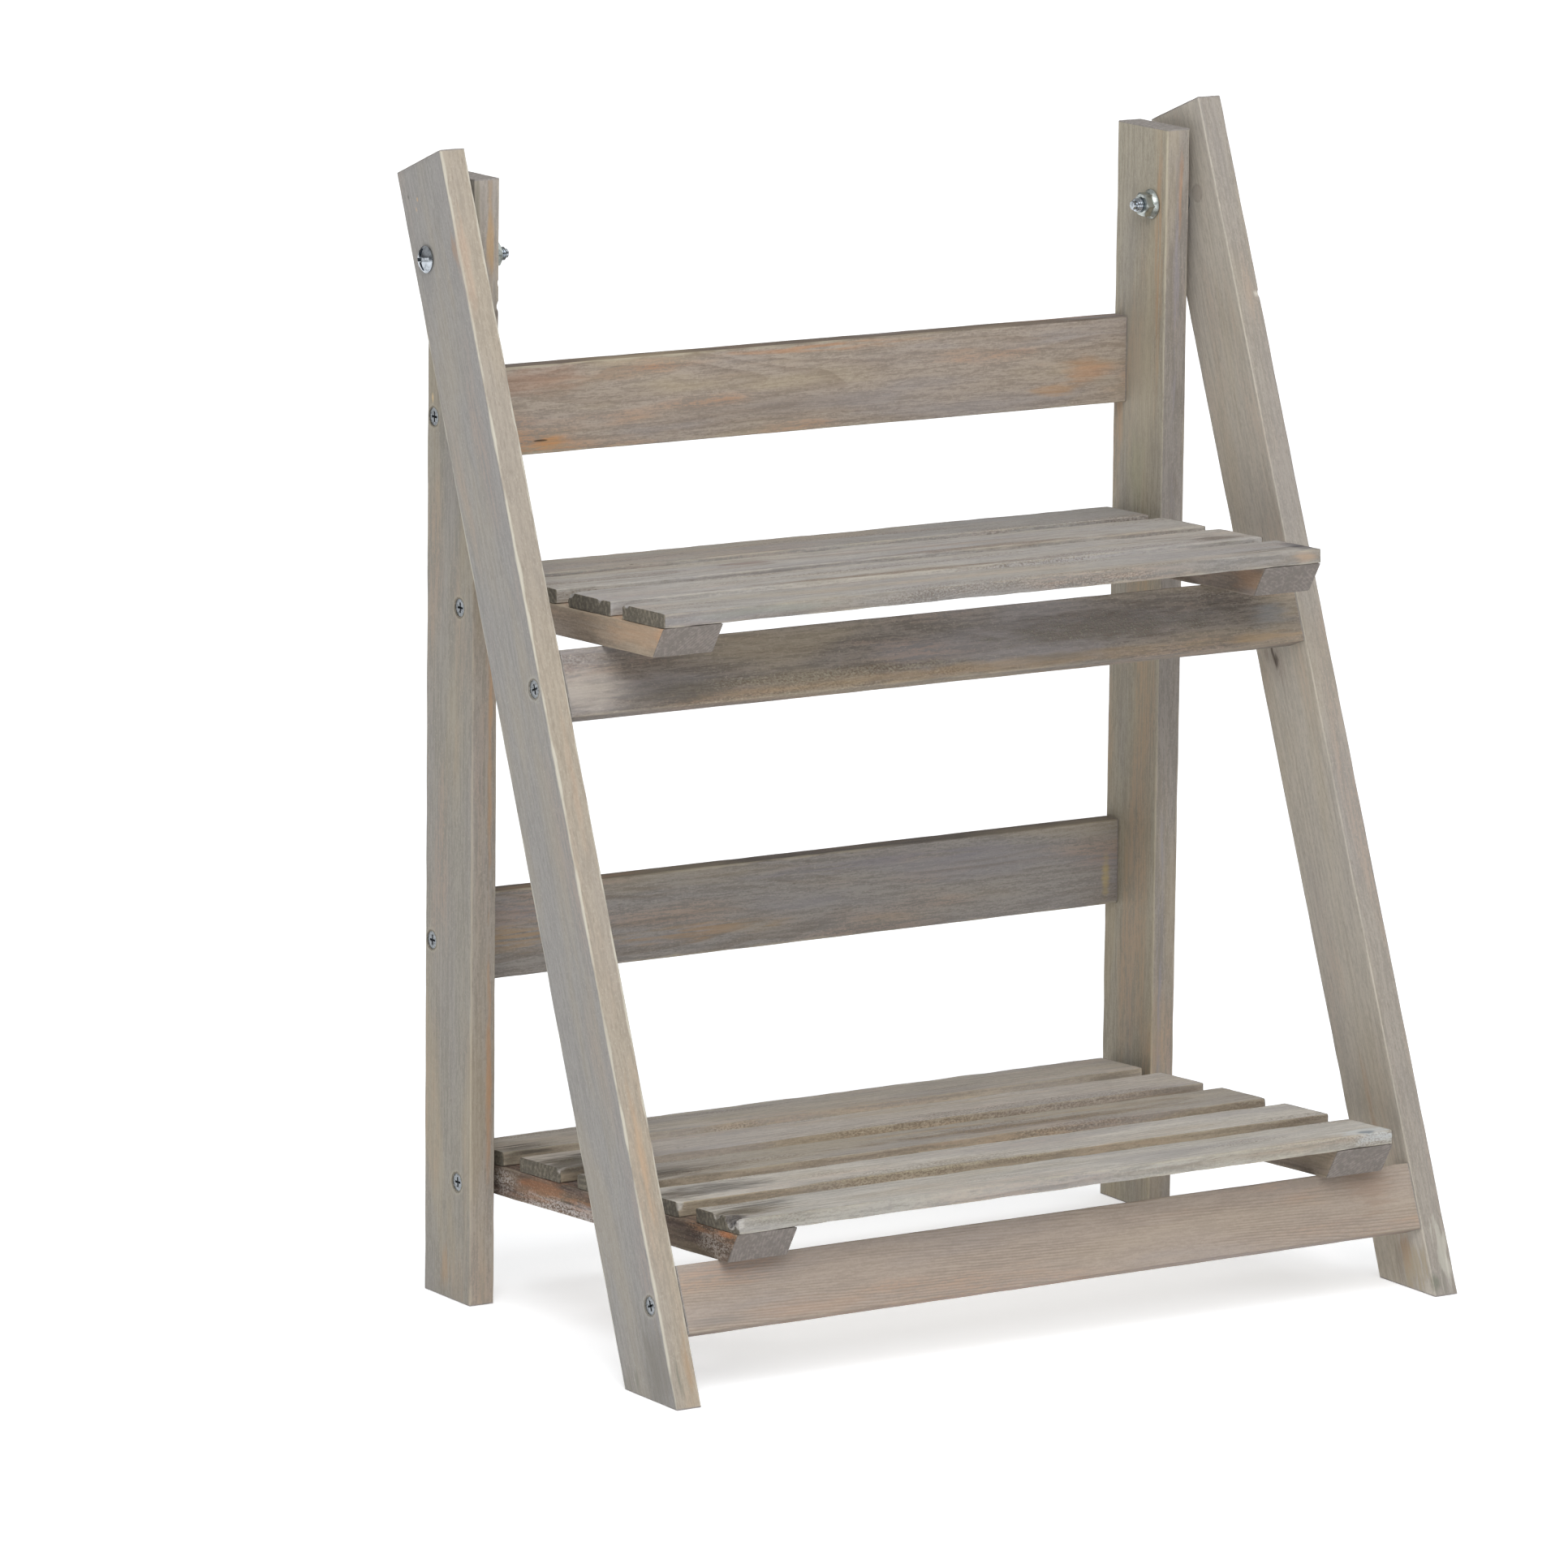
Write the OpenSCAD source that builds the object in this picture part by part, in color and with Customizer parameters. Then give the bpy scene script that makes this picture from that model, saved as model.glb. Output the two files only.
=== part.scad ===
// Folding plant ladder stand: two rear posts and two leaning front legs, bolted
// together near the top, with two slatted shelves that pivot on the posts and
// rest on the front rails.
//
// Frame: +Z up, +X to the right seen from the front, the front faces -Y. The
// origin is on the ground, in the middle of the stand's width and depth.

/* [Overall size] */
// Width over the outer faces of the front legs
overall_w = 410; // [340:1:520]
// Depth from the toes of the front legs to the backs of the rear posts
overall_d = 240; // [225:1:275]
// Height of the highest corner of the front legs' tops
overall_h = 515; // [500:1:600]

/* [Boards] */
// Thickness of the boards that the legs and posts are cut from
board_t = 12.5; // [10:0.5:16]
// Width of a front leg
leg_w = 39.5; // [36:0.5:48]
// Width of a rear post
post_w = 39.5; // [34:0.5:42]
// How far the legs' tops rise above the tops of the posts
leg_rise = 14; // [5:1:25]
// Rounding of the boards' long edges
edge_r = 1; // [0.5:0.25:2]

/* [Rails] */
// Height of a back rail
back_rail_h = 39.5; // [30:0.5:50]
// Thickness of a back rail
back_rail_t = 10.5; // [9:0.5:14]
// Height of the upper back rail's lower edge above the ground
upper_back_rail_z = 373; // [350:1:395]
// Height of the lower back rail's lower edge above the ground
lower_back_rail_z = 139.5; // [100:0.5:200]
// Height of a front rail, measured along the legs
front_rail_h = 30; // [24:0.5:34]
// Thickness of a front rail
front_rail_t = 12.5; // [10:0.5:14]

/* [Shelves] */
// Height of the upper shelf's pivots above the ground
upper_pivot_z = 311.5; // [290:0.5:330]
// Height of the lower shelf's pivots above the ground
lower_pivot_z = 54.2; // [50:0.1:70]
// How much the upper shelf rises towards the front, in degrees
upper_tilt = 1.8; // [0.5:0.1:3]
// How much the lower shelf rises towards the front, in degrees
lower_tilt = 2.9; // [1:0.1:3.5]
// How far the upper shelf reaches past its front rail
upper_overhang = 51.5; // [45:0.5:60]
// How far the lower shelf reaches past its front rail
lower_overhang = 17.5; // [14:0.5:22]
// How far the upper shelf's back stays in front of the posts' backs
upper_set_in = 3; // [1:0.5:8]
// How far the lower shelf's back stays in front of the posts' backs
lower_set_in = 5.5; // [1:0.5:8]
// Width of a bearer, the batten under the slats' ends
bearer_w = 30; // [24:0.5:36]
// Thickness of a bearer
bearer_t = 13.5; // [12:0.5:16]
// How far a bearer's front end is cut back at its underside
bearer_bevel = 9; // [4:0.5:12]
// Width of a slat
slat_w = 34.4; // [28:0.2:38]
// Thickness of a slat
slat_t = 6.5; // [5:0.5:9]

/* [Gaps] */
// Gap between a front leg and its post, filled by a spacer
leg_gap = 4.5; // [2:0.5:7]
// Gap between a shelf and the post on each side
shelf_gap = 4; // [1:0.5:7]
// Room between a folded shelf's slats and the back rails
back_fold_gap = 4.2; // [2:0.1:6]
// Room between the folded front rails and the posts
front_fold_gap = 3.5; // [2:0.1:5]
// Gap between a shelf's bearers and the front rail that carries them
rest_gap = 0.1; // [0.05:0.05:0.3]
// Play of a leg between its bolt's head and its spacer, on each face
side_play = 0.1; // [0.05:0.05:0.3]

/* [Fasteners] */
// Distance from the posts' tops down to the pivot bolts
bolt_drop = 35; // [28:1:45]
// Thread diameter of a pivot bolt
bolt_d = 6; // [5:0.5:7]
// Diameter of a pivot bolt's domed head
bolt_head_d = 12.2; // [11:0.1:15]
// Height of a pivot bolt's domed head
bolt_head_h = 3.4; // [2.4:0.1:4.5]
// How far a pivot bolt's thread shows past its nut
bolt_show = 4.9; // [3.5:0.1:8]
// Thread pitch of a pivot bolt
bolt_pitch = 1; // [0.8:0.1:1.25]
// Width of a flange nut across its flats
nut_af = 10; // [9:0.5:13]
// Height of a flange nut with its flange
nut_h = 6; // [5:0.1:8]
// Diameter of a nut's flange
flange_d = 13.6; // [13.4:0.1:18]
// Thickness of a nut's flange at its rim
flange_t = 1.2; // [0.8:0.1:1.6]
// Diameter of a spacer on a pivot bolt
spacer_d = 12; // [10:0.5:20]
// Shank diameter of a wood screw
screw_d = 4; // [3:0.5:5]
// Head diameter of a wood screw
screw_head_d = 8; // [7:0.1:9]
// How deep a screw's head lies under the wood's face
screw_sink = 0.5; // [0.2:0.1:1]
// How far a screw reaches into the piece that it holds
screw_bite = 22; // [16:1:26]
// Shank diameter of a brad that holds a slat
brad_d = 1.8; // [1.4:0.1:2.4]
// Head diameter of a brad
brad_head_d = 3.2; // [2.8:0.1:4]
// How far a brad reaches into a slat
brad_bite = 4; // [3:0.5:4.5]
// Radial clearance of a fastener that stays put in its hole
fit_gap = 0.05; // [0.02:0.01:0.1]
// Radial clearance of a fastener that its hole turns on
turn_gap = 0.08; // [0.02:0.01:0.1]

/* [Hidden] */
$fn = 48;

WOOD = "#9c9287";
WOOD_WARM = "#a8937b";
ZINC = "#c8cbcf";

LEFT = -1;
RIGHT = 1;
UPPER_SLATS = 4;
LOWER_SLATS = 5;

// Length by which a cut runs past the faces that it cuts
past = 1;

// Planes across the width, from the outside in
leg_out_x = overall_w / 2;
leg_in_x = leg_out_x - board_t;
post_out_x = leg_in_x - leg_gap;
post_in_x = post_out_x - board_t;
shelf_x = post_in_x - shelf_gap;
bearer_x = shelf_x - bearer_w / 2;

// Planes through the depth
front_y = -overall_d / 2;
back_y = overall_d / 2;
post_front_y = back_y - post_w;

// All pivots lie on one upright line in the posts, just far enough in front of
// the back rails for a folded shelf to stand upright in front of them.
slat_top = bearer_t / 2 + slat_t;
pivot_in = back_rail_t + back_fold_gap + slat_top;
pivot_y = back_y - pivot_in;
post_h = overall_h - leg_rise;
bolt_z = post_h - bolt_drop;

// The legs' lean: their front faces pass through the toes, and lie leg_inset in
// front of the bolts, so the front rails clear the posts when the stand is folded.
leg_inset = front_rail_t + front_fold_gap + post_w - pivot_in;
toe_reach = pivot_y - front_y;
toe_to_bolt = sqrt(toe_reach * toe_reach + bolt_z * bolt_z);
bolt_angle = asin(leg_inset / toe_to_bolt);
lean = atan2(toe_reach, bolt_z) - bolt_angle;
bolt_along = toe_to_bolt * cos(bolt_angle);
leg_len = overall_h / cos(lean);

// A front rail's place along the legs: its rounded top edge carries the bearers.
function rail_top(pivot_z, tilt) =
    let (
        corner_y = front_y + edge_r * cos(lean) - edge_r * sin(lean) - pivot_y,
        corner_z = -edge_r * sin(lean) - edge_r * cos(lean) - pivot_z,
        depth = -corner_y * sin(tilt) - corner_z * cos(tilt),
        fall = sin(lean) * sin(tilt) + cos(lean) * cos(tilt)
    ) (depth - bearer_t / 2 - edge_r - rest_gap) / fall;

// Distance from a shelf's pivots forward to the rail's edge under it.
function rail_reach(pivot_z, tilt) =
    let (
        along = rail_top(pivot_z, tilt),
        edge_y = front_y + along * sin(lean) - pivot_y,
        edge_z = along * cos(lean) - pivot_z
    ) -edge_y * cos(tilt) + edge_z * sin(tilt);

upper_rail_along = rail_top(upper_pivot_z, upper_tilt) - front_rail_h;
lower_rail_along = rail_top(lower_pivot_z, lower_tilt) - front_rail_h;
upper_front = rail_reach(upper_pivot_z, upper_tilt) + upper_overhang;
lower_front = rail_reach(lower_pivot_z, lower_tilt) + lower_overhang;
upper_rear = pivot_in - upper_set_in;
lower_rear = pivot_in - lower_set_in;

// Fastener sizes that follow from what the fasteners pass through
screw_head_h = (screw_head_d - screw_d) / 2;
screw_tip = 1.5 * screw_d;
rail_screw_len = board_t - screw_sink + screw_bite;
pivot_screw_len = board_t - screw_sink + shelf_gap + screw_bite;
spacer_t = leg_gap - side_play;
bolt_len = side_play + board_t + leg_gap + board_t + nut_h + bolt_show;
bolt_point_d = bolt_d * 0.68;
bolt_point_h = bolt_d / 4;
brad_sink = 0.4;
brad_head_h = 0.8;
brad_len = bearer_t - brad_sink + brad_bite;

// ---- shapes that repeat ----------------------------------------------------

// Cross-section of a board with its four edges rounded, from the origin.
module board_section(size) {
    translate([edge_r, 0])
        square([size.x - 2 * edge_r, size.y]);
    translate([0, edge_r])
        square([size.x, size.y - 2 * edge_r]);
    for (x = [edge_r, size.x - edge_r], y = [edge_r, size.y - edge_r])
        translate([x, y])
            circle(r = edge_r);
}

// Board that runs along +Z, with one corner of its foot at the origin.
module upright_board(size) {
    linear_extrude(size.z)
        board_section([size.x, size.y]);
}

// Board that runs across the stand, centred on X; size is [length, depth, height].
module cross_board(size) {
    translate([-size.x / 2, 0, 0])
        rotate([90, 0, 90])
            linear_extrude(size.x)
                board_section([size.y, size.z]);
}

// Mirrors what is made for the right side over to the left.
module on_side(side) {
    if (side == LEFT)
        mirror([1, 0, 0]) children();
    else
        children();
}

module on_both_sides() {
    on_side(LEFT) children();
    on_side(RIGHT) children();
}

// Puts children at a place on an outer face of the right side, with their +Z
// turned out of the face.
module facing_out(x, y, z) {
    translate([x, y, z])
        rotate([0, 90, 0])
            children();
}

// Coordinates of the leaning front frame: y is depth behind the legs' front
// faces, and z is length along the legs from the toes.
module in_front_frame() {
    translate([0, front_y, 0])
        rotate([-lean, 0, 0])
            children();
}

// Coordinates of a shelf: the origin is on its pivots and -Y points to its front.
module in_shelf(pivot_z, tilt) {
    translate([0, pivot_y, pivot_z])
        rotate([-tilt, 0, 0])
            children();
}

// Cross recess for a driver, sunk from the origin.
module cross_recess(span, slot, depth) {
    for (a = [0, 90])
        rotate([0, 0, a])
            translate([-span / 2, -slot / 2, -depth])
                cube([span, slot, depth + past]);
}

// Countersunk wood screw: the head's flat face is at the origin, the point is down.
module wood_screw(length) {
    difference() {
        union() {
            translate([0, 0, -screw_head_h])
                cylinder(d1 = screw_d, d2 = screw_head_d, h = screw_head_h);
            translate([0, 0, screw_tip - length])
                cylinder(d = screw_d, h = length - screw_tip);
            translate([0, 0, -length])
                cylinder(d1 = screw_d / 8, d2 = screw_d, h = screw_tip);
        }
        cross_recess(span = screw_head_d * 0.58, slot = screw_head_d / 8, depth = screw_head_h * 0.8);
    }
}

// Hole for that screw, with its countersink and the pocket over its head.
module screw_hole(length, gap) {
    translate([0, 0, -length - gap])
        cylinder(r = screw_d / 2 + gap, h = length + gap);
    translate([0, 0, -screw_head_h])
        cylinder(r1 = screw_d / 2 + gap, r2 = screw_head_d / 2 + gap, h = screw_head_h);
    cylinder(r = screw_head_d / 2 + gap, h = screw_sink + past);
}

// Brad: a flat head at the origin, with the shank pointing up into the slat.
module brad() {
    cylinder(d = brad_head_d, h = brad_head_h);
    cylinder(d = brad_d, h = brad_len);
}

module brad_hole() {
    translate([0, 0, -brad_sink - past])
        cylinder(r = brad_head_d / 2 + fit_gap, h = brad_sink + past + brad_head_h);
    cylinder(r = brad_d / 2 + fit_gap, h = brad_len + fit_gap);
}

// ---- rear frame ------------------------------------------------------------

back_rail_heights = [upper_back_rail_z + back_rail_h / 2, lower_back_rail_z + back_rail_h / 2];
shelf_pivot_heights = [upper_pivot_z, lower_pivot_z];
back_screw_y = back_y - back_rail_t / 2;

module rear_post(side, shade) {
    color(shade)
        on_side(side)
            difference() {
                translate([post_in_x, post_front_y, 0])
                    upright_board([board_t, post_w, post_h]);
                facing_out(post_in_x - past, pivot_y, bolt_z)
                    cylinder(r = bolt_d / 2 + fit_gap, h = board_t + 2 * past);
                for (z = back_rail_heights)
                    facing_out(post_out_x - screw_sink, back_screw_y, z)
                        screw_hole(rail_screw_len, fit_gap);
                for (z = shelf_pivot_heights)
                    facing_out(post_out_x - screw_sink, pivot_y, z)
                        screw_hole(pivot_screw_len, turn_gap);
            }
}

module back_rail(z, shade) {
    color(shade)
        difference() {
            translate([0, back_y - back_rail_t, z])
                cross_board([2 * post_in_x, back_rail_t, back_rail_h]);
            on_both_sides()
                facing_out(post_out_x - screw_sink, back_screw_y, z + back_rail_h / 2)
                    screw_hole(rail_screw_len, fit_gap);
        }
}

module back_rail_screws() {
    color(ZINC)
        on_both_sides()
            for (z = back_rail_heights)
                facing_out(post_out_x - screw_sink, back_screw_y, z)
                    wood_screw(rail_screw_len);
}

// ---- pivot bolts -----------------------------------------------------------

// Sphere that makes the bolt head's dome, with a rim as high as a quarter of it
dome_rim = bolt_head_h / 4;
dome_rise = bolt_head_h - dome_rim;
dome_r = (bolt_head_d * bolt_head_d / 4 + dome_rise * dome_rise) / (2 * dome_rise);

// Outline of the threaded end, up from the point, as [radius, height] points.
thread_depth = bolt_pitch * 0.5;
thread_turns = floor((bolt_show - bolt_point_h) / bolt_pitch);
thread_end = bolt_point_h + thread_turns * bolt_pitch;
thread_outline = [
    [0, 0],
    [bolt_point_d / 2, 0],
    [bolt_point_d / 2, bolt_point_h],
    for (turn = [0:thread_turns - 1])
        each [
            [bolt_d / 2 - thread_depth, bolt_point_h + turn * bolt_pitch],
            [bolt_d / 2, bolt_point_h + (turn + 0.5) * bolt_pitch],
        ],
    [bolt_d / 2 - thread_depth, thread_end],
    [0, thread_end],
];

// Domed bolt: the underside of its head is at the origin, the point is down.
module pivot_bolt() {
    difference() {
        intersection() {
            cylinder(d = bolt_head_d, h = bolt_head_h);
            translate([0, 0, bolt_head_h - dome_r])
                sphere(r = dome_r);
        }
        translate([0, 0, bolt_head_h])
            cross_recess(span = bolt_head_d * 0.5, slot = bolt_head_d / 9, depth = bolt_head_h * 0.7);
    }
    translate([0, 0, thread_end - bolt_len])
        cylinder(d = bolt_d, h = bolt_len - thread_end);
    translate([0, 0, -bolt_len])
        rotate_extrude()
            polygon(thread_outline);
}

module pivot_bolts() {
    color(ZINC)
        on_both_sides()
            facing_out(leg_out_x + side_play, pivot_y, bolt_z)
                pivot_bolt();
}

// Hexagon nut with a flange: the flange's seat is at the origin, the nut is up.
module flange_nut() {
    cone_h = (flange_d - nut_af) / 4;
    difference() {
        union() {
            cylinder(d = flange_d, h = flange_t);
            translate([0, 0, flange_t])
                cylinder(d1 = flange_d, d2 = nut_af, h = cone_h);
            intersection() {
                cylinder(d = nut_af / cos(30), h = nut_h, $fn = 6);
                cylinder(d1 = nut_af / cos(30) + nut_h, d2 = nut_af, h = nut_h);
            }
        }
        translate([0, 0, -past])
            cylinder(r = bolt_d / 2 + fit_gap, h = nut_h + 2 * past);
    }
}

module flange_nuts() {
    color(ZINC)
        on_both_sides()
            translate([post_in_x, pivot_y, bolt_z])
                rotate([0, -90, 0])
                    flange_nut();
}

module leg_spacers() {
    color(ZINC)
        on_both_sides()
            facing_out(post_out_x, pivot_y, bolt_z)
                difference() {
                    cylinder(d = spacer_d, h = spacer_t);
                    translate([0, 0, -past])
                        cylinder(r = bolt_d / 2 + fit_gap, h = spacer_t + 2 * past);
                }
}

// ---- front frame -----------------------------------------------------------

front_rail_mids = [upper_rail_along + front_rail_h / 2, lower_rail_along + front_rail_h / 2];

module front_leg(side, shade) {
    color(shade)
        on_side(side)
            difference() {
                in_front_frame()
                    difference() {
                        translate([leg_in_x, 0, 0])
                            upright_board([board_t, leg_w, leg_len]);
                        facing_out(leg_in_x - past, leg_inset, bolt_along)
                            cylinder(r = bolt_d / 2 + turn_gap, h = board_t + 2 * past);
                        for (along = front_rail_mids)
                            facing_out(leg_out_x - screw_sink, front_rail_t / 2, along)
                                screw_hole(rail_screw_len, fit_gap);
                    }
                // The foot is cut flat to the ground.
                translate([leg_in_x - past, front_y - leg_w, -leg_w])
                    cube([board_t + 2 * past, 3 * leg_w, leg_w]);
            }
}

module front_rail(along, shade) {
    color(shade)
        in_front_frame()
            difference() {
                translate([0, 0, along])
                    cross_board([2 * leg_in_x, front_rail_t, front_rail_h]);
                on_both_sides()
                    facing_out(leg_out_x - screw_sink, front_rail_t / 2, along + front_rail_h / 2)
                        screw_hole(rail_screw_len, fit_gap);
            }
}

module front_rail_screws() {
    color(ZINC)
        in_front_frame()
            on_both_sides()
                for (along = front_rail_mids)
                    facing_out(leg_out_x - screw_sink, front_rail_t / 2, along)
                        wood_screw(rail_screw_len);
}

// ---- shelves ---------------------------------------------------------------

// Distance forward from the pivots to the middle of slat i, counted from the back.
function slat_mid(i, count, front, rear) =
    slat_w / 2 - rear + (i - 1) * (front + rear - slat_w) / (count - 1);

// Puts a brad, or its hole, under each slat's middle, on both bearers.
module under_slats(count, front, rear) {
    on_both_sides()
        for (i = [1:count])
            translate([bearer_x, -slat_mid(i, count, front, rear), brad_sink - bearer_t / 2])
                children();
}

module slat(i, count, front, rear) {
    difference() {
        translate([0, -slat_mid(i, count, front, rear) - slat_w / 2, bearer_t / 2])
            cross_board([2 * shelf_x, slat_w, slat_t]);
        under_slats(count, front, rear)
            brad_hole();
    }
}

// Right-hand bearer, with the underside of its front end cut back.
module bearer(count, front, rear) {
    difference() {
        translate([shelf_x - bearer_w, -front, -bearer_t / 2])
            rotate([-90, 0, 0])
                mirror([0, 1, 0])
                    upright_board([bearer_w, bearer_t, front + rear]);
        translate([shelf_x - bearer_w - past, 0, 0])
            rotate([90, 0, 90])
                linear_extrude(bearer_w + 2 * past)
                    polygon([
                        [-front - past, bearer_t / 2],
                        [-front, bearer_t / 2],
                        [-front + bearer_bevel, -bearer_t / 2],
                        [-front + bearer_bevel, -bearer_t / 2 - past],
                        [-front - past, -bearer_t / 2 - past],
                    ]);
        facing_out(post_out_x - screw_sink, 0, 0)
            screw_hole(pivot_screw_len, fit_gap);
        under_slats(count, front, rear)
            brad_hole();
    }
}

module shelf_pivot_screws() {
    color(ZINC)
        on_both_sides()
            facing_out(post_out_x - screw_sink, 0, 0)
                wood_screw(pivot_screw_len);
}

module upper_bearer(side) {
    color(WOOD_WARM)
        in_shelf(upper_pivot_z, upper_tilt)
            on_side(side)
                bearer(UPPER_SLATS, upper_front, upper_rear);
}

module upper_slat(i) {
    color(WOOD)
        in_shelf(upper_pivot_z, upper_tilt)
            slat(i, UPPER_SLATS, upper_front, upper_rear);
}

module upper_pivot_screws() {
    in_shelf(upper_pivot_z, upper_tilt)
        shelf_pivot_screws();
}

module upper_slat_brads() {
    color(ZINC)
        in_shelf(upper_pivot_z, upper_tilt)
            under_slats(UPPER_SLATS, upper_front, upper_rear)
                brad();
}

module lower_bearer(side) {
    color(WOOD_WARM)
        in_shelf(lower_pivot_z, lower_tilt)
            on_side(side)
                bearer(LOWER_SLATS, lower_front, lower_rear);
}

module lower_slat(i) {
    color(WOOD)
        in_shelf(lower_pivot_z, lower_tilt)
            slat(i, LOWER_SLATS, lower_front, lower_rear);
}

module lower_pivot_screws() {
    in_shelf(lower_pivot_z, lower_tilt)
        shelf_pivot_screws();
}

module lower_slat_brads() {
    color(ZINC)
        in_shelf(lower_pivot_z, lower_tilt)
            under_slats(LOWER_SLATS, lower_front, lower_rear)
                brad();
}

// ---- assembly --------------------------------------------------------------

rear_post(LEFT, WOOD);  // rear_post_left
rear_post(RIGHT, WOOD_WARM);  // rear_post_right
back_rail(upper_back_rail_z, WOOD_WARM);  // back_rail_upper
back_rail(lower_back_rail_z, WOOD);  // back_rail_lower
back_rail_screws();
pivot_bolts();
flange_nuts();
leg_spacers();
front_leg(LEFT, WOOD_WARM);  // front_leg_left
front_leg(RIGHT, WOOD);  // front_leg_right
front_rail(upper_rail_along, WOOD);  // front_rail_upper
front_rail(lower_rail_along, WOOD_WARM);  // front_rail_lower
front_rail_screws();
upper_bearer(LEFT);  // upper_bearer_left
upper_bearer(RIGHT);  // upper_bearer_right
upper_slat(1);  // upper_slat_1
upper_slat(2);  // upper_slat_2
upper_slat(3);  // upper_slat_3
upper_slat(4);  // upper_slat_4
upper_pivot_screws();
upper_slat_brads();
lower_bearer(LEFT);  // lower_bearer_left
lower_bearer(RIGHT);  // lower_bearer_right
lower_slat(1);  // lower_slat_1
lower_slat(2);  // lower_slat_2
lower_slat(3);  // lower_slat_3
lower_slat(4);  // lower_slat_4
lower_slat(5);  // lower_slat_5
lower_pivot_screws();
lower_slat_brads();
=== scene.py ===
"""Folding plant ladder stand in grey-washed pine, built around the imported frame.

The frame gives the bodies, the joints and the plain solids. This script makes the
worn boards, dresses the fasteners and sets up the floor, the lights and the camera.
Everything is in metres: +Z is up, +X is to the right and the front faces -Y.
"""

import logging
import math
from collections.abc import Callable, Iterable, Mapping, Sequence
from dataclasses import dataclass, field, replace
from enum import Enum
from typing import Any

import bmesh
import bpy
from mathutils import Matrix, Vector, noise


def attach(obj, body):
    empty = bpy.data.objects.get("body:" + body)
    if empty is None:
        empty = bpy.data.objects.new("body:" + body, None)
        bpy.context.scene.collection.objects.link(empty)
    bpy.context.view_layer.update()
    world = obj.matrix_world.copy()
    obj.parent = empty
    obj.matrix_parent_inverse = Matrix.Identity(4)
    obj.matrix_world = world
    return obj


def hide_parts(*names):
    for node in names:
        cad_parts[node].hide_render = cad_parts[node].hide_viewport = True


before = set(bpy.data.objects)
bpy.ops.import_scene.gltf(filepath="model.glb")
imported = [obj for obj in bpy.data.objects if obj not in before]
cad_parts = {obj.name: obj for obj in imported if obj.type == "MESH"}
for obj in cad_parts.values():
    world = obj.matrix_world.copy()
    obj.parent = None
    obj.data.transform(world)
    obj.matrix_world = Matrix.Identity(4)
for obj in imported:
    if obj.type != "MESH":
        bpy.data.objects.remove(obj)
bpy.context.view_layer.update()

MM = 0.001
SLACK = 1e-7  # how near a cut passes a corner and still goes through it
TOUCHING = 1e-6  # how near two points are to count as one
X_AXIS = Vector((1.0, 0.0, 0.0))
Z_AXIS = Vector((0.0, 0.0, 1.0))
LOG = logging.getLogger("ladder_stand")

Socket = bpy.types.NodeSocket
Solid = bmesh.types.BMesh
Colour = tuple[float, float, float, float]


class Side(Enum):
    """The stand's two sides, as the sign of their X."""

    LEFT = -1
    RIGHT = 1


def linear(colour: str) -> Colour:
    """Turns a hex colour as seen on a screen into linear light.

    Args:
        colour: Six hex digits after a hash sign.

    Returns:
        Red, green, blue and an alpha of 1.
    """
    parts = [int(colour[i : i + 2], 16) / 255 for i in (1, 3, 5)]
    lit = [c / 12.92 if c <= 0.04045 else ((c + 0.055) / 1.055) ** 2.4 for c in parts]
    return lit[0], lit[1], lit[2], 1.0


def grey(level: float) -> Colour:
    """Makes a grey of that level, in linear light."""
    return level, level, level, 1.0


# ---- shader expressions ----------------------------------------------------------


class Link:
    """A number that a shader node gives, for use in Python expressions."""

    def __init__(self, graph: "Graph", socket: Socket) -> None:
        """Wraps one output socket of a node in graph."""
        self.graph = graph
        self.socket = socket

    def _math(self, operation: str, *values: Any) -> "Link":
        """Adds a Math node that works on values, and returns its result."""
        return self.graph.value("ShaderNodeMath", {"operation": operation}, dict(enumerate(values)))

    def __add__(self, other: Any) -> "Link":
        """Adds a number or a link."""
        return self._math("ADD", self, other)

    def __radd__(self, other: Any) -> "Link":
        """Adds this to a number."""
        return self._math("ADD", other, self)

    def __sub__(self, other: Any) -> "Link":
        """Takes away a number or a link."""
        return self._math("SUBTRACT", self, other)

    def __rsub__(self, other: Any) -> "Link":
        """Takes this away from a number."""
        return self._math("SUBTRACT", other, self)

    def __mul__(self, other: Any) -> "Link":
        """Multiplies by a number or a link."""
        return self._math("MULTIPLY", self, other)

    def __rmul__(self, other: Any) -> "Link":
        """Multiplies a number by this."""
        return self._math("MULTIPLY", other, self)

    def __truediv__(self, other: Any) -> "Link":
        """Divides by a number or a link."""
        return self._math("DIVIDE", self, other)

    def __rtruediv__(self, other: Any) -> "Link":
        """Divides a number by this."""
        return self._math("DIVIDE", other, self)

    def __abs__(self) -> "Link":
        """Drops the sign."""
        return self._math("ABSOLUTE", self)

    def root(self) -> "Link":
        """Takes the square root."""
        return self._math("SQRT", self)

    def fraction(self) -> "Link":
        """Keeps what follows the decimal point."""
        return self._math("FRACT", self)

    def most(self, other: Any) -> "Link":
        """Takes the larger of two."""
        return self._math("MAXIMUM", self, other)

    def rise(self, low: float, high: float) -> "Link":
        """Turns the span from low to high into a smooth step from 0 to 1.

        Args:
            low: Where the step starts.
            high: Where it ends; below low, the step falls instead.

        Returns:
            The step.
        """
        if high < low:
            return 1 - self.rise(high, low)
        sockets = {"Value": self, "From Min": low, "From Max": high}
        return self.graph.value("ShaderNodeMapRange", {"interpolation_type": "SMOOTHSTEP"}, sockets)


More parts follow.
